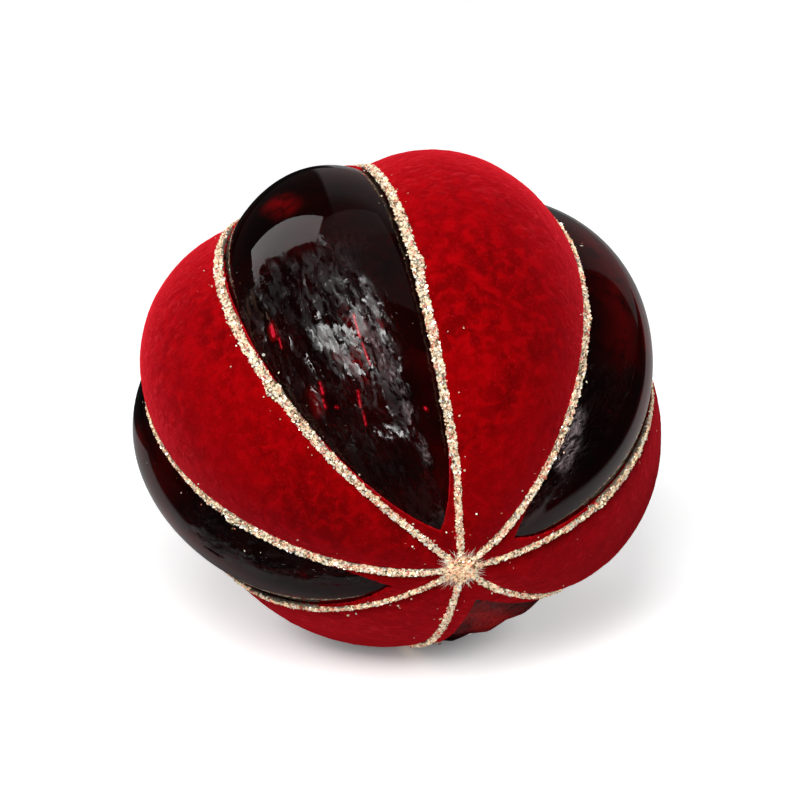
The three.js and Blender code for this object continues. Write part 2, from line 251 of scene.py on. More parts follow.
def smooth_noise(points, size, seed):
    """Noise from -1 to 1: hashed values on a lattice of the given spacing, blended smoothly between corners."""
    place = np.asarray(points) / size
    cell = np.floor(place).astype(np.int64)
    share = place - cell
    share = share * share * (3 - 2 * share)
    total = np.zeros(place.shape[:-1])
    for corner in np.ndindex(2, 2, 2):
        total += hashed(cell + corner, seed) * np.prod(np.where(corner, share, 1 - share), axis=-1)
    return total


def grid_triangles(rows, columns, wrap_rows=False, wrap_columns=True):
    """Two triangles for each cell of a grid of points numbered row by row. A wrapped side joins last to first."""
    r = np.arange(rows if wrap_rows else rows - 1)[:, None]
    c = np.arange(columns if wrap_columns else columns - 1)[None, :]
    next_r, next_c = (r + 1) % rows, (c + 1) % columns
    a, b = r * columns + c, r * columns + next_c
    d, e = next_r * columns + c, next_r * columns + next_c
    return np.concatenate([np.stack([a, b, d], -1).reshape(-1, 3), np.stack([b, e, d], -1).reshape(-1, 3)])


def lofted(rings, flip=False):
    """A closed skin through rings of equal count, each end closed by a fan to the mean of its ring."""
    rows, columns = rings.shape[:2]
    points = np.concatenate([rings.reshape(-1, 3), rings[:1].mean(axis=1), rings[-1:].mean(axis=1)])
    around = np.arange(columns)
    after = (around + 1) % columns
    base = (rows - 1) * columns
    first = np.stack([after, around, np.full(columns, rows * columns)], -1)
    last = np.stack([base + around, base + after, np.full(columns, rows * columns + 1)], -1)
    faces = np.concatenate([grid_triangles(rows, columns), first, last])
    return points, faces[:, ::-1] if flip else faces


def add_object(name, data):
    """An object with the given data, in the scene."""
    obj = bpy.data.objects.new(name, data)
    bpy.context.scene.collection.objects.link(obj)
    return obj


def add_mesh(name, points, faces, looks, smooth=True):
    """A mesh object at the origin from an array of points and an array of triangles."""
    mesh = bpy.data.meshes.new(name)
    mesh.vertices.add(len(points))
    mesh.vertices.foreach_set("co", np.asarray(points, np.float32).ravel())
    mesh.loops.add(faces.size)
    mesh.loops.foreach_set("vertex_index", np.asarray(faces, np.int32).ravel())
    mesh.polygons.add(len(faces))
    mesh.polygons.foreach_set("loop_start", np.arange(0, faces.size, 3, dtype=np.int32))
    mesh.update(calc_edges=True)
    mesh.polygons.foreach_set("use_smooth", np.full(len(faces), smooth))
    for look in looks:
        mesh.materials.append(look)
    return add_object(name, mesh)


def add_values(obj, name, values):
    """Keeps a number, or a vector, for each point of a mesh under a name that a material can read."""
    kind, field = ("FLOAT_VECTOR", "vector") if values.ndim > 1 else ("FLOAT", "value")
    obj.data.attributes.new(name, kind, "POINT").data.foreach_set(field, values.astype(np.float32).ravel())


def finish_piece(obj, body, slot, *nodes):
    """The piece rides on its body and stands for the nodes named. The slot is not used."""
    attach(obj, body)
    if nodes:
        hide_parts(*nodes)
    print(obj.name, "faces:", len(obj.data.polygons))


def smooth_step(low, high, x):
    """0 below low, 1 above high, and an S curve between."""
    share = np.clip((x - low) / (high - low), 0, 1)
    return share * share * (3 - 2 * share)


# %% [markdown]
# ## The camera
# The view is from a little above the table, a little left of the bauble's end. A long lens keeps the lobes
# nearly free of perspective. The camera looks at a point beside the centre, so the object sits a hair
# left of and above the middle of the picture.

# %% Camera
CAMERA_AZIMUTH = math.radians(-16.04)
CAMERA_ELEVATION = math.radians(20)
CAMERA_DISTANCE = 1.6875
AIM_RIGHT = 0.491 * MM
AIM_DOWN = 0.733 * MM


def direction(azimuth, elevation):
    """The unit vector towards an azimuth, 0 at -Y and turning towards +X, and an elevation, both in radians."""
    level = math.cos(elevation)
    return np.array([math.sin(azimuth) * level, -math.cos(azimuth) * level, math.sin(elevation)])


towards_camera = direction(CAMERA_AZIMUTH, CAMERA_ELEVATION)
camera_right = np.array([math.cos(CAMERA_AZIMUTH), math.sin(CAMERA_AZIMUTH), 0.0])
camera_up = np.cross(towards_camera, camera_right)
aim = CENTRE + camera_right * AIM_RIGHT - camera_up * AIM_DOWN

camera = add_object("camera", bpy.data.cameras.new("camera"))
camera.data.lens = 400
camera.data.sensor_width = 36
camera.data.clip_start = 0.1
camera.data.clip_end = 100
camera.location = Vector(aim + towards_camera * CAMERA_DISTANCE)
camera.rotation_mode = "QUATERNION"
camera.rotation_quaternion = Vector(-towards_camera).to_track_quat("-Z", "Y")
bpy.context.scene.camera = camera
print("camera at, m:", [round(x, 4) for x in camera.location])

# %% [markdown]
# ## Helpers for materials
# A finish starts from one Principled shader, whose plain numbers go straight on its sockets. Patterns read
# Object coordinates, so they stay with the piece. One node group, used by several finishes, gives uneven
# patches: a noise pattern with its contrast raised.

# %% Material helpers and the shared patches group
def new_look(name, **values):
    """A material with a Principled shader, its sockets set by name, with underscores for spaces."""
    look = bpy.data.materials.new(name)
    look.use_nodes = True
    shader = look.node_tree.nodes["Principled BSDF"]
    for socket, value in values.items():
        shader.inputs[socket.replace("_", " ")].default_value = value
    return look, look.node_tree, shader


def add_node(tree, kind, inputs=None, **settings):
    """A node of a tree with its settings. An input takes a plain value or the socket that feeds it."""
    node = tree.nodes.new(kind)
    for key, value in settings.items():
        setattr(node, key, value)
    for key, value in (inputs or {}).items():
        if isinstance(value, bpy.types.NodeSocket):
            tree.links.new(value, node.inputs[key])
        else:
            node.inputs[key].default_value = value
    return node


def plug(tree, shader, **sockets):
    """Feeds sockets of a shader, named with underscores for spaces."""
    for name, socket in sockets.items():
        tree.links.new(socket, shader.inputs[name.replace("_", " ")])


def object_place(tree):
    """The socket with the position in Object coordinates."""
    return add_node(tree, "ShaderNodeTexCoord").outputs["Object"]


def kept_value(tree, name, output="Fac"):
    """The socket with a value kept on the mesh."""
    return add_node(tree, "ShaderNodeAttribute", attribute_name=name).outputs[output]


def mixed(tree, share, first, second):
    """The colour socket that blends two colours, or two colour sockets, by a share."""
    return add_node(tree, "ShaderNodeMix", {0: share, 6: first, 7: second}, data_type="RGBA").outputs[2]


def vector_math(tree, operation, inputs, output="Vector"):
    """The socket with the result of a sum of vectors."""
    return add_node(tree, "ShaderNodeVectorMath", inputs, operation=operation).outputs[output]


def dot_with(tree, place, vector):
    """The socket with the dot product of a position and a fixed vector."""
    return vector_math(tree, "DOT_PRODUCT", {0: place, 1: vector}, "Value")


def scaled(tree, place, scale):
    """The socket with a position scaled by its own amount along each axis, which stretches a pattern."""
    return add_node(tree, "ShaderNodeMapping", {"Vector": place, "Scale": scale}).outputs["Vector"]


def add_bump(tree, shader, height, strength, distance):
    """Gives a shader a bump from a height socket."""
    bump = add_node(tree, "ShaderNodeBump", {"Height": height, "Strength": strength, "Distance": distance})
    plug(tree, shader, Normal=bump.outputs["Normal"])


def ramp_between(tree, value, low, high, start=0.0, end=1.0):
    """The socket that goes from start to end while a value goes from low to high."""
    inputs = {"Value": value, "From Min": low, "From Max": high, "To Min": start, "To Max": end}
    return add_node(tree, "ShaderNodeMapRange", inputs, interpolation_type="SMOOTHSTEP").outputs["Result"]


def product(tree, first, second, operation="MULTIPLY"):
    """The socket with the product, or another sum, of two values."""
    return add_node(tree, "ShaderNodeMath", {0: first, 1: second}, operation=operation).outputs[0]


def patches_group():
    """Noise of a given Scale and Detail, bent by Distortion, and cut from 0 to 1 between Low and High."""
    group = bpy.data.node_groups.new("uneven patches", "ShaderNodeTree")
    sockets = {"Vector": "NodeSocketVector", "Scale": "NodeSocketFloat", "Detail": "NodeSocketFloat",
               "Distortion": "NodeSocketFloat", "Low": "NodeSocketFloat", "High": "NodeSocketFloat"}
    for name, kind in sockets.items():
        group.interface.new_socket(name, in_out="INPUT", socket_type=kind)
    group.interface.new_socket("Mask", in_out="OUTPUT", socket_type="NodeSocketFloat")
    given = group.nodes.new("NodeGroupInput").outputs
    noise = add_node(group, "ShaderNodeTexNoise", {"Vector": given["Vector"], "Scale": given["Scale"],
                     "Detail": given["Detail"], "Roughness": 0.55, "Distortion": given["Distortion"]})
    cut = add_node(group, "ShaderNodeMapRange", {"Value": noise.outputs["Fac"], "From Min": given["Low"],
                   "From Max": given["High"]}, interpolation_type="SMOOTHSTEP")
    result = group.nodes.new("NodeGroupOutput")
    group.links.new(cut.outputs["Result"], result.inputs["Mask"])
    return group


PATCHES = patches_group()


def patches(tree, vector, size, detail=2.0, distortion=0.0, low=0.35, high=0.65):
    """The mask socket of the patches group, for patches of about the given size in metres."""
    node = tree.nodes.new("ShaderNodeGroup")
    node.node_tree = PATCHES
    values = {"Scale": 1 / size, "Detail": detail, "Distortion": distortion, "Low": low, "High": high}
    for key, value in values.items():
        node.inputs[key].default_value = value
    tree.links.new(vector, node.inputs["Vector"])
    return node.outputs["Mask"]


# %% [markdown]
# ## Ruby glass
# The glass is one blown shell with a real wall, so light bends in and out of it as in the real ball. Its hood
# and its sides are smooth and mirror the lamps cleanly. The middle of each window is crumpled, as when hot
# glass is pushed together in the mould. Its outer skin is dented in facets of three sizes: flat triangles on a
# bent lattice, longer along the lobe than across it, whose sharp creases break the lamp into pieces. A long
# fold, a calm place and a few finely crumpled places give the first window its broken bright streak, with a
# painted pale glow in the finely crumpled places.

# %% Glass shell
WINDOW_COLUMNS = {0: 136, 2: 52, 4: 40, 6: 48}
COVERED_COLUMNS = 6
CRINKLED_ROWS = 200
SMOOTH_ROWS = 46
INNER_ROWS = 36
SMOOTH_FROM = math.radians(100)
# The third number of a flat place is the lobe times this, so no two lobes share their noise.
LOBE_LAYER = 0.05
# For each window lobe: where across the lobe the crinkles start and stop, and up to which polar angle they reach.
CRINKLES = {0: (-1.3, 0.48, 91), 2: (-1.2, -0.2, 62), 4: (-0.8, 0.8, 60), 6: (0.05, 1.2, 66)}
# A long fold down the middle of the first window, as places on it: polar angle in degrees, and s.
MAIN_FOLD = [(72, 0.24), (62, 0.28), (55, 0.33), (50, 0.38), (45, 0.44), (38, 0.46), (25, 0.4)]
# Where the first window is nearly even, so that the key shows as one broken bright patch: t, lobe and s.
CALM_PLACE = (math.radians(62), 0, 0.24)
# Painted red glow, as threads and a deep red halo: the lobe, the two ends as polar angle and s, the reach and the
# highest level.
PAINTED_GLOW_PLACES = [(0, (75, -0.66), (72.5, -0.68), 0.5 * MM, 1), (0, (71, -0.64), (69, -0.67), 0.18 * MM, 1),
               (0, (57, -0.49), (54.6, -0.53), 0.26 * MM, 1), (0, (53.4, -0.57), (51.6, -0.6), 0.2 * MM, 1),
               (0, (50.4, -0.48), (50.1, -0.46), 0.2 * MM, 1), (0, (51, -0.12), (47.6, -0.19), 0.18 * MM, 1),
               (0, (46.4, -0.19), (43.4, -0.25), 0.15 * MM, 1), (0, (67, 0.19), (61.6, 0.165), 0.18 * MM, 1),
               (0, (60.2, 0.16), (55, 0.15), 0.15 * MM, 1), (0, (42, 0.65), (41.4, 0.66), 0.24 * MM, 1),
               (0, (107, -0.16), (102, -0.05), 1.6 * MM, 0.6), (0, (56, -0.64), (52, -0.7), 0.9 * MM, 0.45),
               (2, (97, -0.58), (68, -0.4), 4.2 * MM, 0.32), (4, (24, 0.2), (50, -0.2), 4.0 * MM, 0.55)]
# Places crumpled much finer, with bolder chips and frost and a painted pale streak: the same fields, and the level is
# how much more.
CRUMPLED_AND_PAINTED_STREAK_PLACES = [(0, (60, 0.3), (50, 0.38), 0.8 * MM, 0.7), (0, (50, 0.4), (30, 0.46), 0.5 * MM, 0.9),
                   (2, (45, -0.84), (34, -0.62), 1.0 * MM, 1)]
CRUMPLED_BOOST = 2.5


def flat_place(t, lobe, s):
    """The lobe's skin laid flat, in metres: how far along it, how far across it, and a layer of its own."""
    return stacked(t * VALLEY_RADIUS, s * lobe_half_width(t, lobe), lobe * LOBE_LAYER)


def crinkled_share(t, lobe, s):
    """How crinkled the glass is, from 0 to 1. The edge of the crinkles wanders by a few millimetres."""
    if lobe not in CRINKLES:
        return np.zeros(np.broadcast(t, s).shape)
    wander = smooth_noise(flat_place(t, lobe, s), 8 * MM, 13)
    start, stop, top = CRINKLES[lobe]
    beside = smooth_step(start, start + 0.3, s) * (1 - smooth_step(stop - 0.22, stop + 0.22, s + 0.1 * wander))
    edge = np.radians(top) + math.radians(6) * wander
    return beside * (1 - smooth_step(edge - math.radians(5), edge + math.radians(5), t))


def facets(flat, along, across, seed):
    """Crumpled heights from -1 to 1: hashed on a bent lattice and joined by flat triangles with sharp creases."""
    bend = np.stack([smooth_noise(flat, 0.9 * along, seed + i) for i in (1, 2)], axis=-1)
    place = flat[..., :2] / np.array([along, across]) + 0.55 * bend
    cell = np.floor(place).astype(np.int64)
    u, v = np.moveaxis(place - cell, -1, 0)
    cell = np.concatenate([cell, np.round(flat[..., 2:] / LOBE_LAYER).astype(np.int64)], axis=-1)
    corners = (0, 0, 0), (1, 0, 0), (0, 1, 0), (1, 1, 0)
    near, beside, beyond, far = [hashed(cell + corner, seed) for corner in corners]
    low = near + u * (beside - near) + v * (beyond - near)
    high = far + (1 - u) * (beyond - far) + (1 - v) * (beside - far)
    return np.where(u + v < 1, low, high)


def crinkle_depth(t, lobe, s):
    """Facets of three sizes, longer along the lobe than across it, plus the long fold."""
    if lobe not in CRINKLES:
        return np.zeros(np.broadcast(t, s).shape)
    flat = flat_place(t, lobe, s)
    depth = 0.5 * facets(flat, 7.5 * MM, 3.6 * MM, 61) + 0.1 * facets(flat, 3.8 * MM, 1.6 * MM, 71)
    depth = (depth + 0.025 * facets(flat, 2.0 * MM, 0.8 * MM, 81)) * MM
    if lobe == 0:
        calm = np.linalg.norm((flat - flat_place(*CALM_PLACE))[..., :2], axis=-1)
        depth = depth * (1 - 0.7 * np.exp(-((calm / (7 * MM)) ** 2)))
        angles, places = np.radians([t for t, s in MAIN_FOLD])[::-1], np.array([s for t, s in MAIN_FOLD])[::-1]
        away = np.abs(s - np.interp(t, angles, places)) * lobe_half_width(t, lobe)
        depth = depth - 0.42 * MM * np.exp(-away / (1.7 * MM)) * smooth_step(math.radians(68), math.radians(56), t)
    return depth * crinkled_share(t, lobe, s)


def near_places(places, t, lobe, s):
    """Each place's level on the line between its ends, down to 0 at three times its reach. The highest counts."""
    flat = flat_place(t, lobe, s)[..., :2]
    glow = np.zeros(flat.shape[:-1])
    for own, first, last, reach, level in places:
        if own == lobe:
            start, end = [flat_place(np.radians(angle), lobe, place)[..., :2] for angle, place in (first, last)]
            share = np.clip((flat - start) @ (end - start) / np.sum((end - start) ** 2), 0, 1)
            away = np.linalg.norm(flat - start - share[..., None] * (end - start), axis=-1)
            glow = np.maximum(glow, level * np.clip(1 - away / (3 * reach), 0, 1))
    return glow


def glass_ring(t, depth):
    """One ring round all the lobes at polar angle t, sunk below the outer skin, and three values for each point."""
    parts, shares, painted_glow_levels, flats = [], [], [], []
    for lobe in range(LOBES):
        columns = WINDOW_COLUMNS.get(lobe, COVERED_COLUMNS)
        s = np.linspace(-1, 1, columns + 1)[:-1]
        dent = crinkle_depth(np.full_like(s, t), lobe, s)
        parts.append(body_point(t, lobe, s, -depth - dent))
        # Painted highlight too: where the crinkled value passes 1.2 the finish paints pale streaks.
        crumpled = CRUMPLED_BOOST * near_places(CRUMPLED_AND_PAINTED_STREAK_PLACES, t, lobe, s)
        shares.append(crinkled_share(np.full_like(s, t), lobe, s) + crumpled)
        # The level of the painted red glow: threads and a deep red halo laid on the glass as emission.
        painted_glow_levels.append(near_places(PAINTED_GLOW_PLACES, t, lobe, s))
        flats.append(flat_place(t, lobe, s))
    return [np.concatenate(values) for values in (parts, shares, painted_glow_levels, flats)]


def neck_ring(ring, radius, z):
    """A level circle of the neck, whose points stand in line with those of another ring."""
    upright = (ring - CENTRE) @ TIP
    turn = np.arctan2(upright[:, 1], upright[:, 0])
    return laid(round_axis(radius, turn, z), spun=False)


def glass_shell():
    """Rings up the outside, over the neck's rounded rim, down the bore and down the inside, joined as one skin."""
    bore_foot = angle_above(NECK_RADIUS, 0, 1.0)
    crowded = np.linspace(0, SMOOTH_FROM, CRINKLED_ROWS + 1)[1:]
    spread = np.linspace(SMOOTH_FROM, NECK_FOOT, SMOOTH_ROWS + 1)[1:]
    outside, *values = zip(*[glass_ring(t, 0.0) for t in np.concatenate([crowded, spread])])
    inside = [glass_ring(t, GLASS_WALL)[0] for t in np.linspace(bore_foot, 0, INNER_ROWS + 1)[:-1]]
    bore = NECK_RADIUS - NECK_WALL
    lip = NECK_WALL / 2
    neck = [(NECK_RADIUS + 0.25 * MM, NECK_FOOT_Z + 0.3 * MM), (NECK_RADIUS, NECK_FOOT_Z + 1.0 * MM)]
    neck += [(bore + lip + lip * math.cos(a), NECK_RIM_Z - lip + lip * math.sin(a))
             for a in np.linspace(0, math.pi, 9)]
    neck += [(bore, NECK_FOOT_Z + 0.3 * MM)]
    rim = [neck_ring(outside[-1], radius, z) for radius, z in neck]
    return lofted(np.stack([*outside, *rim, *inside])), [np.concatenate(value) for value in values]


# %% [markdown]
# The glass finish is a dark red glass that lets light through. A little of it is set to plain red, as real
# ruby glass is slightly cloudy, which keeps the core of a window from going dead black. Chips too fine for the
# mesh are a bump: cells that each lean their own way, stretched along the lobe by the flat places kept on the
# mesh. Crumpled glass is frosted in streaks. Painted red threads and a painted deep red glow sit at the glow
# places, and painted pale streaks where the crumpling is finest: a weak glow, not light that the glass bends.

# %% Glass finish
def glass_look():
    look, tree, shader = new_look(
        "ruby_glass", Roughness=0.02, IOR=1.5, Transmission_Weight=0.97, Specular_IOR_Level=0.5)
    place = object_place(tree)
    shade = patches(tree, place, 12 * MM, detail=3, low=0.35, high=0.7)
    colour = mixed(tree, shade, (0.08, 0.0003, 0.0008, 1), (0.28, 0.001, 0.0024, 1))
    wrinkled = kept_value(tree, "crinkled")
    flat = kept_value(tree, "flat_place", "Vector")
    shift = add_node(tree, "ShaderNodeTexNoise", {"Vector": flat, "Scale": 1 / (2.5 * MM), "Detail": 2.0})
    shift = vector_math(tree, "SCALE", {0: shift.outputs["Color"], 3: 1.6 * MM})
    stretched = scaled(tree, vector_math(tree, "ADD", {0: flat, 1: shift}), (0.28, 1, 1))

    def chipped(size, slope, bold):
        """Flat chips, each a Voronoi cell with a lean of its own. A few bold ones lean three times as far."""
        cells = add_node(tree, "ShaderNodeTexVoronoi", {"Vector": stretched, "Scale": 1 / size}).outputs
        reach = vector_math(tree, "SUBTRACT", {0: stretched, 1: cells["Position"]})
        height = dot_with(tree, reach, vector_math(tree, "SUBTRACT", {0: cells["Color"], 1: (0.5, 0.5, 0.5)}))
        chance = add_node(tree, "ShaderNodeSeparateColor", {"Color": cells["Color"]}).outputs[2]
        extra = product(tree, product(tree, chance, bold, "GREATER_THAN"), 2 * slope)
        return product(tree, height, product(tree, extra, slope, "ADD"))

    chips = product(tree, chipped(1.4 * MM, 0.22, 0.86), chipped(0.5 * MM, 0.16, 0.84), "ADD")
    add_bump(tree, shader, product(tree, chips, wrinkled), 1.0, 1.0)
    frosted = patches(tree, stretched, 1.6 * MM, detail=5, distortion=1.2, low=0.34, high=0.6)
    gloss = product(tree, product(tree, product(tree, frosted, wrinkled), 0.36), 0.02, "ADD")
    # Painted light: red threads and a deep red glow, by emission, laid where the kept thin value is high.
    thin = kept_value(tree, "thin")
    uneven = patches(tree, flat, 0.7 * MM, detail=3, distortion=0.5, low=0.3, high=0.55)
    core = product(tree, product(tree, uneven, 0.2), thin, "ADD")
    broad = patches(tree, flat, 3 * MM, detail=2, low=0.2, high=0.6)
    painted_deep_glow = product(tree, ramp_between(tree, thin, 0.1, 0.62), broad)
    painted_deep_glow = mixed(tree, painted_deep_glow, (0, 0, 0, 1), (0.11, 0.0003, 0.001, 1))
    glow = mixed(tree, ramp_between(tree, core, 0.84, 0.98), painted_deep_glow, (0.6, 0.01, 0.03, 1))
    # Painted highlight: pale streaks glow by emission where the glass is crumpled finest.
    threads = patches(tree, stretched, 0.5 * MM, detail=4, distortion=0.8, low=0.42, high=0.72)
    painted_pale_streaks = product(tree, product(tree, frosted, threads), ramp_between(tree, wrinkled, 1.2, 3.0))
    glow = mixed(tree, painted_pale_streaks, glow, (0.34, 0.26, 0.27, 1))
    plug(tree, shader, Base_Color=colour, Roughness=gloss, Emission_Color=glow)
    shader.inputs["Emission Strength"].default_value = 1.0
    return look


(points, faces), outer_values = glass_shell()
glass = add_mesh("ruby_glass_shell", points, faces, [glass_look()])
# The thin value is the level of the painted red glow, not a real thinness of the glass.
for name, value in zip(("crinkled", "thin", "flat_place"), outer_values):
    filled = np.zeros((len(points), *value.shape[1:]), np.float32)
    filled[: len(value)] = value
    add_values(glass, name, filled)
finish_piece(glass, "bauble", "ruby_glass", "glass_body")

# %% [markdown]
# ## Velvet flock
# Flock is short fibre blown on to glue, here a little under a millimetre deep and crushed by handling. It is a
# skin with real depth: its nap rises and falls by a tenth of a millimetre in soft patches, its edges are
# rounded, and it runs right under the beads of glitter and the rosette. A whole lobe is a tube of cross
# sections lofted from the rosette to the cap. The flock round a window is a ring whose section runs from the
# window's edge, over the top, to the bead and back underneath.

# %% Flock skins
FLOCK_ROWS = 430
FLOCK_COLUMNS = 118
UNDER_COLUMNS = 6
BORDER_STEPS = 420
BORDER_COLUMNS = 25
BORDER_CORNER = 0.05
UNDER_LIFT = 0.04 * MM
UNDER_BEAD = 1.4 * MM
# How far out the flock starts, as a share of the rosette's radius.
FLOCK_START = 0.68


def nap(points, seed):
    """The nap's height: patches a few millimetres across, plus crushed grain below a millimetre."""
    soft = smooth_noise(points, 6 * MM, seed)
    crushed = smooth_noise(points, 1.7 * MM, seed + 1)
    grain = smooth_noise(points, 0.55 * MM, seed + 2)
    return (0.06 * soft + 0.05 * crushed + 0.045 * grain - 0.14) * MM


def flock_start(lobe):
    """The polar angle where a lobe's flock starts, under the edge of the rosette."""
    return angle_below(FLOCK_START * ROSETTE_RADIUS, lobe, 0.0)


def flock_end(lobe):
    """The polar angle where a lobe's flock ends under the edge of the cap's skirt."""
    return angle_above(SKIRT_RADIUS + FLUTE_DEPTH + BEAD_CLEARANCE, lobe, 0.0)


def flock_half_width(t, lobe, under_bead=0.0):
    """Half the width of a lobe's flock: the lobe less half a bead and its clearance, plus what runs under it."""
    return lobe_half_width(t, lobe) - BEAD_WIDTH / 2 - BEAD_CLEARANCE + under_bead


def velvet_lobe(lobe):
    """Cross sections from the rosette to the cap: over the nap from bead to bead, and back along the glass."""
    t = np.linspace(flock_start(lobe), flock_end(lobe), FLOCK_ROWS)[:, None]
    edge = flock_half_width(t, lobe, UNDER_BEAD) / lobe_half_width(t, lobe)
    top = edge * np.sin(np.linspace(-np.pi / 2, np.pi / 2, FLOCK_COLUMNS) * 0.94)[None, :] / math.sin(0.47 * np.pi)
    under = edge * np.linspace(1, -1, UNDER_COLUMNS + 2)[None, 1:-1]
    bare = body_point(t, lobe, top)
    from_edge = (edge - np.abs(top)) * lobe_half_width(t, lobe)
    from_end = np.minimum(t - t[0], t[-1] - t) * VALLEY_RADIUS
    near = np.clip(np.minimum(from_edge, from_end + 0.1 * MM) / (0.45 * MM), 0, 1)
    rounded = 0.35 + 0.65 * np.sqrt(1 - (1 - near) ** 2)
    high = body_point(t, lobe, top, FLOCK_TOP * rounded + nap(bare, 20 + lobe) * near)
    low = body_point(t, lobe, under, UNDER_LIFT)
    return lofted(np.concatenate([high, low], axis=1))


def window_half_width(t, lobe, tip, taper):
    """Half the width of the bare window: pointed at the tip below, and closed by a round end above."""
    border = BORDER_AT_SIDE + (BORDERS[lobe][0] - BORDER_AT_SIDE) * np.exp((tip - t) / taper)
    along = np.clip((t - WINDOW_ROUND_FROM) / (WINDOW_TOP - WINDOW_ROUND_FROM), 0, 1)
    return np.maximum(flock_half_width(t, lobe) - border, 0) * np.sqrt(1 - along**2)


def border_outlines(lobe):
    """The window's outline and the flock's outer one: matching loops of (t, s), up one side and down the other."""
    start, end = flock_start(lobe), flock_end(lobe)
    tip = solve(lambda t: float(flock_half_width(t, lobe)) - BORDERS[lobe][0], start, math.pi / 2)
    share = np.linspace(0, 1, BORDER_STEPS + 1)
    crowded = (1 - np.cos(np.pi * share)) / 2
    inner_t = tip + (WINDOW_TOP - tip) * crowded
    up_side = np.clip((share - BORDER_CORNER) / (1 - 2 * BORDER_CORNER), 0, 1)
    outer_t = start + (end - start) * up_side
    outer_s = flock_half_width(outer_t, lobe, UNDER_BEAD) / lobe_half_width(outer_t, lobe)
    outer_s = outer_s * np.minimum(1, np.minimum(share, 1 - share) / BORDER_CORNER)
    left, right = [window_half_width(inner_t, lobe, tip, taper) / lobe_half_width(inner_t, lobe)
                   for taper in BORDERS[lobe][1:]]
    return [np.concatenate([stacked(t, up), stacked(t, -down)[-2:0:-1]])
            for t, up, down in ((inner_t, right, left), (outer_t, outer_s, outer_s))]


def velvet_border(lobe):
    """A ring of sections round the window: each rises from the bare glass, runs out to the bead and comes back."""
    inner, outer = border_outlines(lobe)
    across = np.concatenate([np.linspace(0, 1, BORDER_COLUMNS) ** 1.6, np.linspace(1, 0, 5)[:-1]])
    spots = inner[:, None, :] + (outer - inner)[:, None, :] * across[None, :, None]
    t, s = spots[..., 0], spots[..., 1]
    bare = body_point(t, lobe, s)
    width = np.linalg.norm(bare[:, BORDER_COLUMNS - 1] - bare[:, 0], axis=-1)[:, None]
    ragged = 0.12 * MM * smooth_noise(bare, 0.7 * MM, 31)
    near = np.clip((across[None, :] * width + ragged) / (0.5 * MM), 0, 1)
    high = FLOCK_TOP * np.sqrt(1 - (1 - near) ** 2) + nap(bare, 40 + lobe) * near
    on_top = np.arange(len(across)) < BORDER_COLUMNS
    lift = np.where(on_top[None, :], np.maximum(high, UNDER_LIFT * 1.5), UNDER_LIFT)
    points = body_point(t, lobe, s, lift)
    rows, columns = points.shape[:2]
    return points.reshape(-1, 3), grid_triangles(rows, columns, wrap_rows=True)


# %% [markdown]
# Velvet is dark where the nap points at you and bright where it leans away, and crushed nap leans every way.
# The colour mixes darker and brighter reds by patches of three sizes. At a slant it goes to a bright red, a
# painted sheen, and brushed streaks of the nap show there only, as painted sheen too. Sheen gives the pale
# bloom at grazing angles, and a fine bump stands for the fibre ends.

# %% Flock finish
def velvet_look():
    look, tree, shader = new_look(
        "velvet_flock", Roughness=0.95, Specular_IOR_Level=0.02, Sheen_Weight=1.0, Sheen_Roughness=0.45,
        Sheen_Tint=(1.0, 0.03, 0.05, 1))
    place = object_place(tree)
    broad = patches(tree, place, 16 * MM, detail=3, distortion=0.6)
    crushed = patches(tree, place, 2.4 * MM, detail=5, distortion=0.4, low=0.38, high=0.72)
    fleck = patches(tree, place, 0.45 * MM, detail=2, distortion=0.4, low=0.56, high=0.74)
    red = mixed(tree, broad, (0.18, 0.0001, 0.0005, 1), (0.3, 0.0001, 0.0009, 1))
    lit = mixed(tree, crushed, red, (0.43, 0.0003, 0.002, 1))
    flecked = mixed(tree, product(tree, fleck, 0.4), lit, (0.66, 0.006, 0.014, 1))
    # Painted sheen: the colour turns to a bright red at a slant, and the brushed streaks show only at a slant.
    aslant = add_node(tree, "ShaderNodeLayerWeight", {"Blend": 0.5}).outputs["Facing"]
    painted_sheen_red = mixed(tree, product(tree, aslant, 2.0, "POWER"), flecked, (0.85, 0.004, 0.012, 1))
    brushed_nap_and_sheen_streak = patches(tree, scaled(tree, place, (0.4, 1, 1)), 1.5 * MM, detail=5, distortion=1.5, low=0.5, high=0.68)
    brushed_nap_and_sheen_streak = product(tree, brushed_nap_and_sheen_streak, ramp_between(tree, aslant, 0.25, 0.8, 0.0, 0.5))
    plug(tree, shader, Base_Color=mixed(tree, brushed_nap_and_sheen_streak, painted_sheen_red, (1.0, 0.04, 0.06, 1)))
    fibres = add_node(tree, "ShaderNodeTexNoise", {"Vector": place, "Scale": 1 / (0.22 * MM), "Detail": 2.0})
    add_bump(tree, shader, fibres.outputs["Fac"], 0.8, 0.12 * MM)
    return look


VELVET = velvet_look()
for pair in range(LOBES // 2):
    border = add_mesh(f"flock_round_window_{pair + 1}", *velvet_border(2 * pair), [VELVET])
    finish_piece(border, "bauble", "velvet_flock", f"velvet_border_{pair + 1}")
    lobe = add_mesh(f"flocked_lobe_{pair + 1}", *velvet_lobe(2 * pair + 1), [VELVET])
    finish_piece(lobe, "bauble", "velvet_flock", f"velvet_lobe_{pair + 1}")

# %% [markdown]
# ## Glitter lines
# A line of glue is piped along each valley by hand and buried in glitter. The glue is a low bead with wavering
# edges. On it lie thousands of six-sided flakes, each a small closed plate with its own size and lean, so the
# lamps pick out a different few from every side. A flake has twelve faces. Some lie loose on the flock beside
# the line. Each line starts under the rosette.

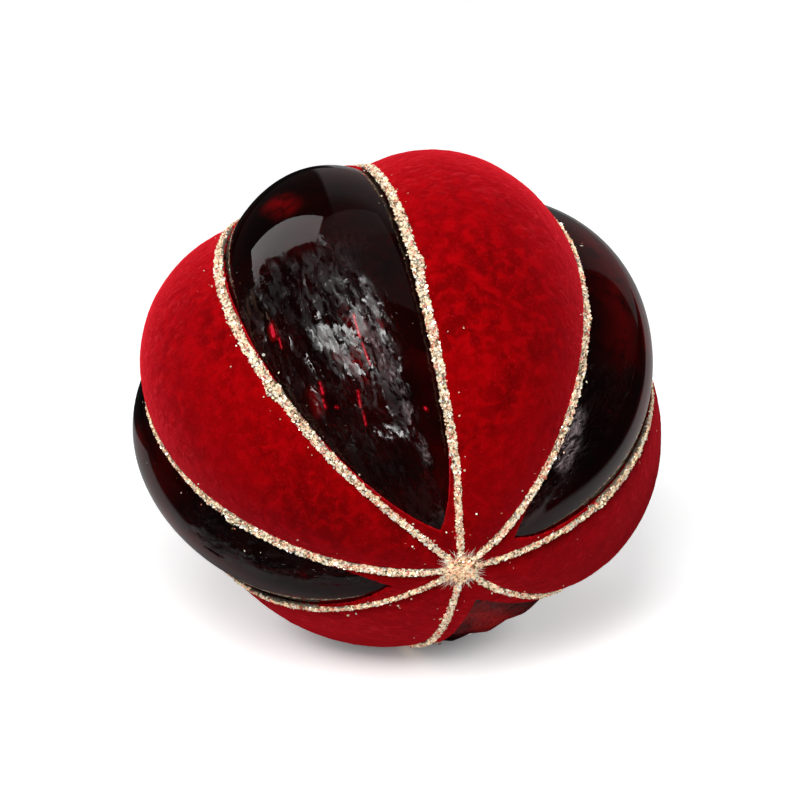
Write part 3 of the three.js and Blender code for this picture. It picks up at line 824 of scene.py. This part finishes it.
# %% Glitter helpers
FLAKE_SIZE = 0.56 * MM
FLAKE_THICKNESS = 0.06 * MM
FLAKES_PER_LINE = 3600
STRAYS_PER_LINE = 34
GROUND = 0.02 * MM
GLUE_AT_POLE = 1.1 * MM
GLUE_AT_SIDE = 1.75 * MM
GLUE_ROWS = 380
GLUE_COLUMNS = 15
# How far out a line starts, as a share of the rosette's radius.
LINE_START = 0.5
# Where the hand strayed from the valley: polar angles in degrees, and for each valley how far, in millimetres.
WANDER_AT = [4, 12, 28, 44, 60, 76, 92, 108]
WANDER = {0: [0.2, 0.8, 0.7, 0.2, 0.05, -0.5, -0.4, 0.0], 1: [-0.1, -0.4, -0.1, -0.4, -0.3, 0.0, 0.1, -0.1],
          2: [0.1, 0.5, 0.1, -0.3, -0.5, -0.5, -0.4, -0.2], 4: [0.1, 0.4, 0.0, -0.2, 0.0, 0.0, 0.0, 0.0],
          6: [0.0, 0.3, 0.5, 0.3, 0.0, 0.0, 0.0, 0.0], 7: [-0.1, -0.5, -0.4, 0.1, 0.4, 0.3, 0.0, 0.0]}
# Valleys whose line is narrower up the side: the polar angles where it narrows, and the share of its width left.
NARROWED = {2: (70, 95, 0.5), 3: (55, 80, 0.6), 6: (50, 80, 0.6), 7: (58, 80, 0.45)}
# Where the glue ran wide: the valley, the polar angle in degrees, the side (-1 or 1) and how far, in metres.
BLOBS = [(0, 62, -1, 0.9 * MM), (0, 83, 1, 0.4 * MM), (1, 76, 1, 0.8 * MM), (1, 90, -1, 0.4 * MM),
         (2, 70, 1, 0.5 * MM), (3, 40, 1, 0.5 * MM), (7, 55, -1, 0.5 * MM)]


def spindles(points):
    """Triangles for closed spindles. A row of points is one: its ring of corners, then a tip above and one below."""
    count, corners = len(points), points.shape[1] - 2
    corner = np.arange(corners)
    after = (corner + 1) % corners
    above = np.stack([corner, after, np.full(corners, corners)], axis=-1)
    below = np.stack([after, corner, np.full(corners, corners + 1)], axis=-1)
    faces = np.concatenate([above, below])[None] + (corners + 2) * np.arange(count)[:, None, None]
    return points, faces.reshape(-1, 3)


def flakes(centres, normals, sizes, lean, rng):
    """Closed flakes: a flat ring of six corners about each centre, with a point a little above and one below."""
    count = len(centres)
    facing = unit(normals + lean * rng.normal(size=(count, 3)))
    side = unit(np.cross(facing, rng.normal(size=(count, 3))))
    other = np.cross(facing, side)
    turn = turns(6)[:, None]
    reach = sizes[:, None, None] / 2 * rng.uniform(0.7, 1.15, size=(count, 6, 1))
    ring = centres[:, None] + reach * (np.cos(turn) * side[:, None] + np.sin(turn) * other[:, None])
    peak = facing * FLAKE_THICKNESS / 2
    points = np.concatenate([ring, (centres + peak)[:, None], (centres - peak)[:, None]], axis=1)
    points[..., 2] = np.maximum(points[..., 2], GROUND)
    return spindles(points)


def beside_valley(measure, valley, t, x, *lift):
    """body_point or body_normal at a signed distance x across a valley, on whichever lobe that is over."""
    left = (valley - 1) % LOBES
    over_left = measure(t, left, 1 - np.abs(x) / lobe_half_width(t, left), *lift)
    over_right = measure(t, valley, np.abs(x) / lobe_half_width(t, valley) - 1, *lift)
    return np.where((x < 0)[..., None], over_left, over_right)


def line_wander(valley, t):
    """How far the line strays to the right of its valley, read from a short list of places and smoothed."""
    return np.interp(t, np.radians(WANDER_AT), WANDER.get(valley, [0.0] * len(WANDER_AT))) * MM


def line_half_width(valley, t, side):
    """Half the glue, which widens away from the rosette, wavers, and bulges where it ran wide."""
    spot = stacked(t * VALLEY_RADIUS, 0.01 * side, 0.02 * valley)
    waver = 0.12 * smooth_noise(spot, 2.5 * MM, 51) + 0.1 * smooth_noise(spot, 0.9 * MM, 52)
    even = GLUE_AT_POLE + (GLUE_AT_SIDE - GLUE_AT_POLE) * smooth_step(math.radians(12), math.radians(58), t)
    if valley in NARROWED:
        start, stop, kept = NARROWED[valley]
        even = even * (1 - (1 - kept) * smooth_step(math.radians(start), math.radians(stop), t))
    width = even / 2 * (1 + waver)
    for own, degrees, own_side, reach in BLOBS:
        if own == valley:
            away = (t - math.radians(degrees)) * VALLEY_RADIUS / (1.6 * MM)
            width = width + np.where(side == own_side, reach, reach * 0.3) * np.exp(-(away**2))
    return width


def line_lift(x, half):
    """The bead's height over the glass: a low dome between its two edges."""
    dome = np.sqrt(np.clip(1 - (x / half) ** 2, 0, 1))
    return FLOCK_TOP * 0.85 + (BEAD_CREST + FLOCK_TOP * 0.15 - FLAKE_SIZE / 2) * dome


def line_ends(valley):
    """The polar angles where a line starts inside the rosette and ends at the cap's skirt."""
    start = angle_below(ROSETTE_RADIUS * LINE_START, valley, -1.0)
    end = angle_above(SKIRT_RADIUS + FLUTE_DEPTH + BEAD_CLEARANCE, valley, -1.0)
    return start, end


def glue_bead(valley):
    """Sections along the valley: over the dome from edge to edge, and back under it just clear of the glass."""
    t = np.linspace(*line_ends(valley), GLUE_ROWS)[:, None]
    share = np.concatenate([np.sin(np.linspace(-np.pi / 2, np.pi / 2, GLUE_COLUMNS)), [0.6, 0.0, -0.6]])[None, :]
    over = (np.arange(share.size) < GLUE_COLUMNS)[None, :]
    t, share, over = np.broadcast_arrays(t, share, over)
    half = line_half_width(valley, t, np.where(share < 0, -1, 1))
    x = share * half * 0.94
    lift = np.where(over, line_lift(x, half), UNDER_LIFT)
    lift = np.where(over & (np.abs(share) > 0.999), 0.4 * FLOCK_TOP, lift)
    return lofted(beside_valley(body_point, valley, t, x + line_wander(valley, t), lift))


def line_flakes(valley, rng):
    """Flakes spread evenly along the line and across the bead, and a few strays thinning out beside it."""
    start, end = line_ends(valley)
    t = rng.uniform(start, end, FLAKES_PER_LINE)
    share = rng.uniform(-1.04, 1.04, FLAKES_PER_LINE)
    half = line_half_width(valley, t, np.where(share < 0, -1, 1))
    lift = line_lift(share * half, half) + rng.uniform(-0.05, 0.16, FLAKES_PER_LINE) * MM
    x = share * half + line_wander(valley, t)
    far = rng.exponential(1.1 * MM, STRAYS_PER_LINE) + BEAD_WIDTH / 2
    stray_t = rng.uniform(start + 0.1, end - 0.1, STRAYS_PER_LINE)
    room = flock_half_width(stray_t, valley) + BEAD_WIDTH
    stray_x = np.minimum(far, room) * rng.choice([-1, 1], STRAYS_PER_LINE)
    t, x = np.concatenate([t, stray_t]), np.concatenate([x, stray_x])
    lift = np.concatenate([lift, np.full(STRAYS_PER_LINE, FLOCK_TOP + 0.02 * MM)])
    sizes = FLAKE_SIZE * rng.lognormal(0, 0.28, len(t))
    sizes[FLAKES_PER_LINE:] *= 0.6
    centres, normals = beside_valley(body_point, valley, t, x, lift), beside_valley(body_normal, valley, t, x)
    return flakes(centres, normals, np.minimum(sizes, 0.9 * MM), 0.6, rng)


# %% [markdown]
# The flakes are metallised film. A number kept on each flake picks its tone from a ramp: mostly pale
# champagne, some white gold, some copper and rose, and a few dull olive. Each also glows a little in its own
# tone, which stands in for sparkle that the few lamps do not give. The glue under them is darker and full of
# crumbs, drawn by small cells of random tone.

# %% Glitter finishes
FLAKE_GLOW = 0.25
TONES = [(0.0, (0.06, 0.035, 0.012, 1)), (0.06, (0.26, 0.16, 0.05, 1)), (0.11, (0.66, 0.14, 0.1, 1)),
         (0.18, (0.88, 0.45, 0.34, 1)), (0.3, (0.95, 0.7, 0.48, 1)), (0.5, (0.98, 0.84, 0.6, 1)),
         (0.7, (1.0, 0.93, 0.66, 1)), (0.86, (1.0, 0.98, 0.86, 1)), (1.0, (1.0, 1.0, 0.95, 1))]


def tone_ramp(tree, factor):
    """The colour socket of the ramp of glitter tones."""
    node = add_node(tree, "ShaderNodeValToRGB", {"Fac": factor})
    ramp = node.color_ramp
    ramp.elements.remove(ramp.elements[1])
    ramp.elements[0].color = TONES[0][1]
    for position, colour in TONES[1:]:
        ramp.elements.new(position).color = colour
    return node.outputs["Color"]


def flake_look():
    look, tree, shader = new_look(
        "glitter_flake", Metallic=0.35, Roughness=0.24, Specular_IOR_Level=0.7, Emission_Strength=FLAKE_GLOW)
    colour = tone_ramp(tree, kept_value(tree, "tone"))
    plug(tree, shader, Base_Color=colour, Emission_Color=colour)
    return look


def glue_look():
    look, tree, shader = new_look("glitter_glue", Metallic=0.2, Roughness=0.4)
    crumbs = add_node(tree, "ShaderNodeTexVoronoi", {"Vector": object_place(tree), "Scale": 1 / (0.3 * MM)})
    tone = add_node(tree, "ShaderNodeSeparateColor", {"Color": crumbs.outputs["Color"]}).outputs[0]
    dark = mixed(tree, 0.7, tone_ramp(tree, tone), (0.05, 0.03, 0.01, 1))
    plug(tree, shader, Base_Color=dark)
    add_bump(tree, shader, crumbs.outputs["Distance"], 0.8, 0.15 * MM)
    return look


def add_flakes(name, points, faces, rng, tones, *nodes):
    """The flakes or shards of one line or of the rosette as one piece, with one tone for all points of each."""
    obj = add_mesh(name, points.reshape(-1, 3), faces, [FLAKE], smooth=False)
    add_values(obj, "tone", np.repeat(rng.uniform(*tones, len(points)), points.shape[1]))
    finish_piece(obj, "bauble", "gold_glitter", *nodes)


FLAKE = flake_look()
GLUE = glue_look()
for valley in range(LOBES):
    rng = np.random.default_rng(100 + valley)
    bead = add_mesh(f"glue_bead_{valley + 1}", *glue_bead(valley), [GLUE])
    finish_piece(bead, "bauble", "gold_glitter", f"glitter_line_{valley + 1}")
    add_flakes(f"glitter_flakes_{valley + 1}", *line_flakes(valley, rng), rng, (0, 1), f"glitter_line_{valley + 1}")

# %% [markdown]
# ## The rosette
# The eight lines meet in a button of glitter at the bottom pole. It is a low dome of glue under bigger flakes,
# and fine shards of film point out of it all round. Its parts are sized as shares of the plain solid's radius.

# %% Rosette
ROSETTE_FLAKES = 800
ROSETTE_SHARDS = 260
DOME_REACH = 0.64
FLAKES_REACH = 0.7
SHARDS_START = (0.3, 0.75)
DOME_STEPS = 12


def pole_place(distance, turn):
    """The lobe, share s and polar angle of a point near the bottom pole, at a distance and turn round the axis."""
    edges = np.array([valley_angle(valley) for valley in range(LOBES + 1)])
    turn = edges[0] + (turn - edges[0]) % (2 * np.pi)
    lobe = np.clip(np.searchsorted(edges, turn, side="right") - 1, 0, LOBES - 1)
    s = 2 * (turn - edges[lobe]) / (edges[lobe + 1] - edges[lobe]) - 1
    return lobe, s, np.arcsin(np.clip(distance / BOTTOM_HEIGHT, 0, 1))


def pole_point(distance, turn, lift):
    """A point of the bottom, at a distance and turn round the axis, lifted off the glass."""
    lobe, s, t = pole_place(distance, turn)
    points = np.zeros((*np.shape(t), 3))
    for own in range(LOBES):
        points = np.where((lobe == own)[..., None], body_point(t, own, s, lift), points)
    return points


def rosette_dome():
    """Rings from the rim of the button to its crown, wavering in plan, and back under it."""
    turn = turns(96)
    rise = np.linspace(0, np.pi / 2, DOME_STEPS)
    share = np.concatenate([[0.5], np.cos(rise)[:-1], [0.04]])[:, None]
    lift = np.concatenate([[UNDER_LIFT], 0.6 * MM + 0.75 * MM * np.sin(rise)])[:, None]
    waver = 1 + 0.08 * np.sin(8 * turn + 0.4) + 0.04 * np.sin(19 * turn)
    share, lift, turn, waver = np.broadcast_arrays(share, lift, turn, waver)
    return lofted(pole_point(share * waver * ROSETTE_RADIUS * DOME_REACH, turn, lift), flip=True)


def rosette_flakes(rng):
    """Flakes over the dome, denser in the middle."""
    distance = ROSETTE_RADIUS * FLAKES_REACH * np.sqrt(rng.uniform(0, 1, ROSETTE_FLAKES)) ** 1.2
    turn = rng.uniform(0, 2 * np.pi, ROSETTE_FLAKES)
    dome = np.sqrt(np.clip(1 - (distance / ROSETTE_RADIUS) ** 2, 0, 1))
    lift = 0.75 * MM + 0.7 * MM * dome + rng.uniform(-0.1, 0.15, ROSETTE_FLAKES) * MM
    centres = pole_point(distance, turn, lift)
    sizes = FLAKE_SIZE * 1.15 * rng.lognormal(0, 0.3, ROSETTE_FLAKES)
    return flakes(centres, unit(centres - CENTRE), np.minimum(sizes, 0.85 * MM), 0.75, rng)


def rosette_shards(rng):
    """Needles of film: a thin four-sided spindle from near the button's rim outwards, eight faces each."""
    turn = rng.uniform(0, 2 * np.pi, ROSETTE_SHARDS)
    start = ROSETTE_RADIUS * rng.uniform(*SHARDS_START, ROSETTE_SHARDS)
    length = rng.uniform(0.8, 3.0, ROSETTE_SHARDS) * MM
    foot = pole_point(start, turn, 1.1 * MM)
    tip = pole_point(start + length, turn + rng.normal(0, 0.16, ROSETTE_SHARDS),
                     rng.uniform(0.95, 1.4, ROSETTE_SHARDS) * MM)
    along = tip - foot
    side = unit(np.cross(along, foot - CENTRE))
    up = unit(np.cross(side, along))
    middle = foot + along * 0.4
    half = rng.uniform(0.035, 0.07, ROSETTE_SHARDS)[:, None] * MM
    ring = [middle + side * half, middle + up * half * 0.5, middle - side * half, middle - up * half * 0.5]
    return spindles(np.stack([*ring, foot, tip], axis=1))


rng = np.random.default_rng(300)
dome = add_mesh("rosette_glue", *rosette_dome(), [GLUE])
finish_piece(dome, "bauble", "gold_glitter", "glitter_rosette")
add_flakes("rosette_flakes", *rosette_flakes(rng), rng, (0, 0.82), "glitter_rosette")
add_flakes("rosette_shards", *rosette_shards(rng), rng, (0.55, 1), "glitter_rosette")

# %% [markdown]
# ## Cap and hanger
# The cap is pressed from thin metal and lacquered gold. It slips over the glass neck, and a sprung wire goes
# through two holes in its top and holds it by pressing on the inside of the neck. Both follow the model's
# outlines with finer rings. The cap's two holes are cut with a boolean.

# %% Cap and hanger shapes
LEG_SPACING = 4.8 * MM
LEG_LENGTH = 17 * MM
LEG_CLEARANCE = 0.4 * MM
WIRE_RADIUS = 0.5 * MM
WIRE_HOLE_RADIUS = 0.85 * MM
EYE_RADIUS = 4.2 * MM
EYE_THROAT = 3.8 * MM
EYE_RISE = 7.0 * MM
PLATE_UNDER_Z = NECK_RIM_Z + SEAT_GAP
PLATE_TOP_Z = PLATE_UNDER_Z + CAP_WALL


def lobe_top_z(lobe):
    """The height of a lobe's middle under the edge of the cap's cylinder."""
    t = angle_above(CAP_RADIUS, lobe, 0.0)
    return -float(body_radius(t, lobe, 0.0)) * math.cos(t)


SKIRT_Z = SEAT_GAP + max(lobe_top_z(lobe) for lobe in range(LOBES))


def through(points, steps):
    """A smooth curve through points, by cubic segments whose slope at a point is half the chord of its neighbours."""
    points = np.asarray(points, float)
    padded = np.concatenate([[2 * points[0] - points[1]], points, [2 * points[-1] - points[-2]]])
    u = np.linspace(0, 1, steps + 1)[:-1, None]
    parts = []
    for a, b, c, d in zip(padded, padded[1:], padded[2:], padded[3:]):
        square, cube = a - 2.5 * b + 2 * c - d / 2, 1.5 * (b - c) + (d - a) / 2
        parts.append(b + u * (c - a) / 2 + u**2 * square + u**3 * cube)
    return np.concatenate([*parts, points[-1:]])


def cap_shell():
    """A profile of radius, height and fluting, up the inside and down the outside, turned round the axis."""
    rise = PLATE_TOP_Z - SKIRT_Z
    rib_z = SKIRT_Z + rise * 0.5
    inner = [(0.0005, PLATE_UNDER_Z, 0), (CAP_RADIUS - CAP_WALL - 0.2 * MM, PLATE_UNDER_Z, 0),
             (CAP_RADIUS - CAP_WALL, PLATE_UNDER_Z - 0.3 * MM, 0), (CAP_RADIUS - CAP_WALL, SKIRT_Z + rise * 0.42, 0),
             (CAP_RADIUS - CAP_WALL + 0.2 * MM, SKIRT_Z + rise * 0.3 - 0.36 * MM, 0.4),
             (SKIRT_RADIUS - 0.18 * MM, SKIRT_Z + 0.06 * MM, 1)]
    outer = [(SKIRT_RADIUS, SKIRT_Z + 0.54 * MM, 1), (CAP_RADIUS + 0.2 * MM, SKIRT_Z + rise * 0.3, 0.4),
             (CAP_RADIUS, rib_z - CAP_WALL, 0), (CAP_RADIUS + 0.48 * MM, rib_z, 0), (CAP_RADIUS, rib_z + CAP_WALL, 0),
             (CAP_RADIUS, PLATE_TOP_Z - CAP_WALL, 0), (CAP_RADIUS * 0.85, PLATE_TOP_Z + CAP_DOME * 0.15, 0),
             (CAP_RADIUS * 0.45, PLATE_TOP_Z + CAP_DOME * 0.75, 0), (0.0005, PLATE_TOP_Z + CAP_DOME, 0)]
    profile = np.concatenate([np.array(inner), through(outer, 8)])[:, None, :]
    turn = turns(SKIRT_FLUTES * 14)
    wave = np.cos(SKIRT_FLUTES * turn) * profile[..., 2] * FLUTE_DEPTH
    radius, z = profile[..., 0] + wave, profile[..., 1] + wave * 0.6
    return lofted(laid(round_axis(radius, turn, z), spun=False), flip=True)


def hanger_path():
    """Up one leg, round the eye and down the other leg, in the plane that the hanger's eye lies in."""
    leg_foot = NECK_RADIUS - NECK_WALL - WIRE_RADIUS - LEG_CLEARANCE
    hole = LEG_SPACING / 2
    legs = [(leg_foot * 0.8, -LEG_LENGTH), (leg_foot, 2 * MM - LEG_LENGTH), (leg_foot, -LEG_LENGTH * 0.6),
            (hole, -LEG_LENGTH * 0.25), (hole, 0), (hole, CAP_DOME + 0.6 * MM)]
    half_gap = math.asin(EYE_THROAT / 2 / EYE_RADIUS)
    eye = [(EYE_RADIUS * math.sin(a), CAP_DOME + EYE_RISE - EYE_RADIUS * math.cos(a))
           for a in np.linspace(half_gap, 2 * math.pi - half_gap, 13)]
    route = legs + eye + [(-y, z) for y, z in reversed(legs)]
    return through([(0.0, y, PLATE_TOP_Z + z) for y, z in route], 8)


def hanger_tube():
    """Circles square to the path, whose plane is fixed, so one side of each circle is always the X axis."""
    path = hanger_path()
    along = unit(np.gradient(path, axis=0))
    side = np.array([1.0, 0.0, 0.0])
    other = np.cross(along, side)
    turn = turns(18)[:, None]
    rings = path[:, None] + WIRE_RADIUS * 0.97 * (np.cos(turn) * side + np.sin(turn) * other[:, None])
    return lofted(laid(rings, spun=False))


# %% [markdown]
# Lacquered metal is brighter and duller gold in faint cloudy patches, with hair scratches.
# The wire has the same gold with fine lines from the die it was drawn through.

# %% Metal finishes
def gold_look(name, bright, dull, roughness, grain):
    """Gold metal whose colour and gloss vary in patches, with a fine grain in its surface."""
    look, tree, shader = new_look(name, Metallic=1.0, Specular_IOR_Level=0.5)
    place = object_place(tree)
    cloudy = patches(tree, place, 3 * MM, detail=4, distortion=0.5)
    gloss = add_node(tree, "ShaderNodeMapRange", {"Value": cloudy, "To Min": roughness, "To Max": roughness + 0.16})
    plug(tree, shader, Base_Color=mixed(tree, cloudy, bright, dull), Roughness=gloss.outputs["Result"])
    lines = {"Vector": scaled(tree, place, grain), "Scale": 4000.0, "Detail": 3.0}
    add_bump(tree, shader, add_node(tree, "ShaderNodeTexNoise", lines).outputs["Fac"], 0.35, 0.02 * MM)
    return look


def cut_holes(obj):
    """Cuts the wire's two holes through the cap with a boolean, and keeps the result as the cap's own mesh."""
    cutters = []
    for side in (-1, 1):
        z = PLATE_TOP_Z + np.array([-3 * MM, 3 * MM])[:, None]
        rings = round_axis(WIRE_HOLE_RADIUS, turns(32), z) + np.array([0, side * LEG_SPACING / 2, 0])
        cutter = add_mesh(f"hole_cutter_{side + 2}", *lofted(laid(rings, spun=False), flip=True), [])
        cut = obj.modifiers.new("wire hole", "BOOLEAN")
        cut.operation, cut.solver, cut.object = "DIFFERENCE", "EXACT", cutter
        cutters.append(cutter)
    bpy.context.view_layer.update()
    evaluated = obj.evaluated_get(bpy.context.evaluated_depsgraph_get())
    pierced = bpy.data.meshes.new_from_object(evaluated)
    obj.modifiers.clear()
    obj.data = pierced
    for cutter in cutters:
        bpy.data.objects.remove(cutter)


cap = add_mesh("pressed_cap", *cap_shell(), [gold_look("gold_lacquer", (0.83, 0.6, 0.22, 1),
               (0.62, 0.41, 0.13, 1), 0.2, (1, 1, 1))])
cut_holes(cap)
finish_piece(cap, "cap", "cap_metal", "cap")
hanger = add_mesh("sprung_hanger", *hanger_tube(), [gold_look("gold_wire", (0.8, 0.62, 0.28, 1),
                  (0.6, 0.44, 0.17, 1), 0.18, (6, 0.2, 0.2))])
finish_piece(hanger, "hanger", "wire_metal", "hanger_wire")

# %% [markdown]
# ## Table, lamps and surroundings
# The bauble lies on a white table that runs back out of sight. To the camera all of it is white, with a glow
# that grows away from the bauble, so the table burns out to plain white and keeps its contact shadow. Close to
# the bauble the glow is weak, a painted shade added to the real contact shadow, and to the bauble's right it is
# stronger, painted light over the shadow that falls there. To all other light only a sheet round the bauble is
# white, and mirrored light sees it dimmer, with a painted shade close round the bauble, so the glass shows a
# grey sheet with edges. The lamps are softboxes: a key in front to the left, a tall strip behind to the left,
# and a large dim panel overhead on the right. The world is a dark room with one dim sheet standing behind on
# the right, and is plain white to the camera.

# %% Table
FLOOR_RADIUS = 40.0
TABLE_SIDES = 64
TABLE_Z = -1e-6
FLOOR_WHITE = (0.9, 0.9, 0.9, 1)
SHEET_GREY = (0.6, 0.6, 0.6, 1)
MIRRORED_GREY = (0.16, 0.16, 0.16, 1)
BEYOND_SHEET = (0.015, 0.015, 0.015, 1)
# The sheet's edges, in metres behind the origin and to the right of it as the camera sees them. Its two sides
# run aslant, and to the right of its rear corner it runs on back without an end.
SHEET_FRONT = -0.085
SHEET_REAR = 0.128
SHEET_LEFT = -0.095
SHEET_RIGHT = 0.108
LEFT_SLANT = 1.3
RIGHT_SLANT = -0.55
REAR_CORNER = -0.025
EDGE_BLUR = 0.01


def floor_look():
    look, tree, shader = new_look("white_table", Roughness=0.8, Specular_IOR_Level=0.1)
    place = object_place(tree)
    backwards = np.array([math.sin(-CAMERA_AZIMUTH), math.cos(CAMERA_AZIMUTH), 0])
    behind, aside = dot_with(tree, place, tuple(backwards)), dot_with(tree, place, tuple(camera_right))

    def past(value, edge, sign=1):
        """The socket that goes from 0 to 1 where a value passes an edge, upwards or downwards."""
        return ramp_between(tree, value, edge - sign * EDGE_BLUR, edge + sign * EDGE_BLUR)

    rear = product(tree, past(behind, SHEET_REAR, -1), past(aside, REAR_CORNER), "MAXIMUM")
    sheet = product(tree, rear, past(behind, SHEET_FRONT))
    for slant, edge, sign in ((LEFT_SLANT, SHEET_LEFT, 1), (RIGHT_SLANT, SHEET_RIGHT, -1)):
        across = dot_with(tree, place, tuple(camera_right + slant * backwards))
        sheet = product(tree, sheet, past(across, edge, sign))
    path = add_node(tree, "ShaderNodeLightPath").outputs
    white = product(tree, sheet, path["Is Camera Ray"], "MAXIMUM")
    mirrored = product(tree, path["Is Glossy Ray"], path["Is Transmission Ray"], "MAXIMUM")
    grey = mixed(tree, mirrored, SHEET_GREY, MIRRORED_GREY)
    grey = mixed(tree, path["Is Camera Ray"], grey, FLOOR_WHITE)
    far = vector_math(tree, "LENGTH", {0: place}, "Value")
    # Painted shade: the camera's glow is weak close to the bauble. Painted light: it is stronger to the bauble's
    # right, over the shadow there.
    near = ramp_between(tree, far, 0.008, 0.026, 0.08, 0.5)
    beside = ramp_between(tree, aside, 0.015, 0.06, 0.0, 0.14)
    glow = product(tree, product(tree, near, beside, "ADD"), ramp_between(tree, far, 0.2, 1.2, 0.0, 0.45), "ADD")
    # Painted shade in mirrored light: no glow close to the bauble.
    mirrored_glow_with_painted_shade = product(tree, product(tree, ramp_between(tree, far, 0.035, 0.075), 0.22), mirrored)
    glow = mixed(tree, path["Is Camera Ray"], mirrored_glow_with_painted_shade, glow)
    shader.inputs["Emission Color"].default_value = (1, 1, 1, 1)
    colour = mixed(tree, white, BEYOND_SHEET, grey)
    plug(tree, shader, Base_Color=colour, Emission_Strength=product(tree, glow, white))
    return look


def table():
    """Rings of a flat disc, close together near the middle, one micrometre below the bauble's lowest point."""
    radius = np.array([0.05, 0.5, 2.0, 8.0, FLOOR_RADIUS])[:, None]
    rings = round_axis(radius, turns(TABLE_SIDES), TABLE_Z).reshape(-1, 3)
    around = np.arange(TABLE_SIDES)
    fan = stacked(around, (around + 1) % TABLE_SIDES, len(rings))
    faces = np.concatenate([grid_triangles(len(radius), TABLE_SIDES)[:, ::-1], fan])
    return np.concatenate([rings, [[0.0, 0.0, TABLE_Z]]]), faces


floor = add_mesh("table", *table(), [floor_look()])
floor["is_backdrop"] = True


# %% Lamps and world
def softbox(name, azimuth, elevation, distance, width, height, radiance, long_side=(0.0, 0.0, 1.0)):
    """A square-cornered area lamp that faces the body. Its power is radiance times pi times its area."""
    away = direction(math.radians(azimuth), math.radians(elevation))
    lamp = bpy.data.lights.new(name, "AREA")
    lamp.shape = "RECTANGLE"
    lamp.size, lamp.size_y = width, height
    lamp.energy = radiance * math.pi * width * height
    obj = add_object(name, lamp)
    right = unit(np.cross(np.array(long_side, float), away))
    up = np.cross(away, right)
    matrix = np.eye(4)
    matrix[:3, 0], matrix[:3, 1], matrix[:3, 2], matrix[:3, 3] = right, up, away, CENTRE + away * distance
    obj.matrix_world = matrix.T
    return obj


softbox("key", -27, 43, 1.25, 0.6, 0.66, 13)
softbox("strip", -135, 43, 1.2, 0.5, 1.06, 1.5, long_side=(0.573, -0.396, 0.716))
softbox("panel", 100, 80, 1.5, 1.5, 1.5, 0.1)

# The room's level, the standing sheet's level, and the sheet's two edges: azimuth, which way is inwards from it,
# and how far the edge leans, in degrees.
ROOM_LEVEL = 0.018
STANDING_SHEET = 0.13
STANDING_EDGES = [(168, -90, 6), (121, 90, 0)]


def world_look():
    """White to the camera. To all other rays a dark room, with one dim sheet standing upright behind on the right."""
    world = bpy.data.worlds.new("studio")
    world.use_nodes = True
    tree = world.node_tree
    place = add_node(tree, "ShaderNodeTexCoord").outputs["Generated"]
    level = ramp_between(tree, dot_with(tree, place, (0, 0, 1)), 0.6, 0.85, STANDING_SHEET, 0.04)
    for edge, side, lean in STANDING_EDGES:
        inwards = direction(math.radians(edge + side), math.radians(lean))
        level = product(tree, level, ramp_between(tree, dot_with(tree, place, tuple(inwards)), -0.015, 0.015))
    level = product(tree, level, ROOM_LEVEL, "ADD")
    path = add_node(tree, "ShaderNodeLightPath").outputs
    level = product(tree, level, path["Is Camera Ray"], "MAXIMUM")
    tree.links.new(level, tree.nodes["Background"].inputs["Strength"])
    tree.nodes["Background"].inputs["Color"].default_value = (1, 1, 1, 1)
    return world


bpy.context.scene.world = world_look()
bpy.context.scene.view_settings.view_transform = "Standard"

# %% Face count
bpy.context.view_layer.update()
total = sum(len(o.data.polygons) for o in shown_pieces() if o.type == "MESH")
print("faces in all:", total)
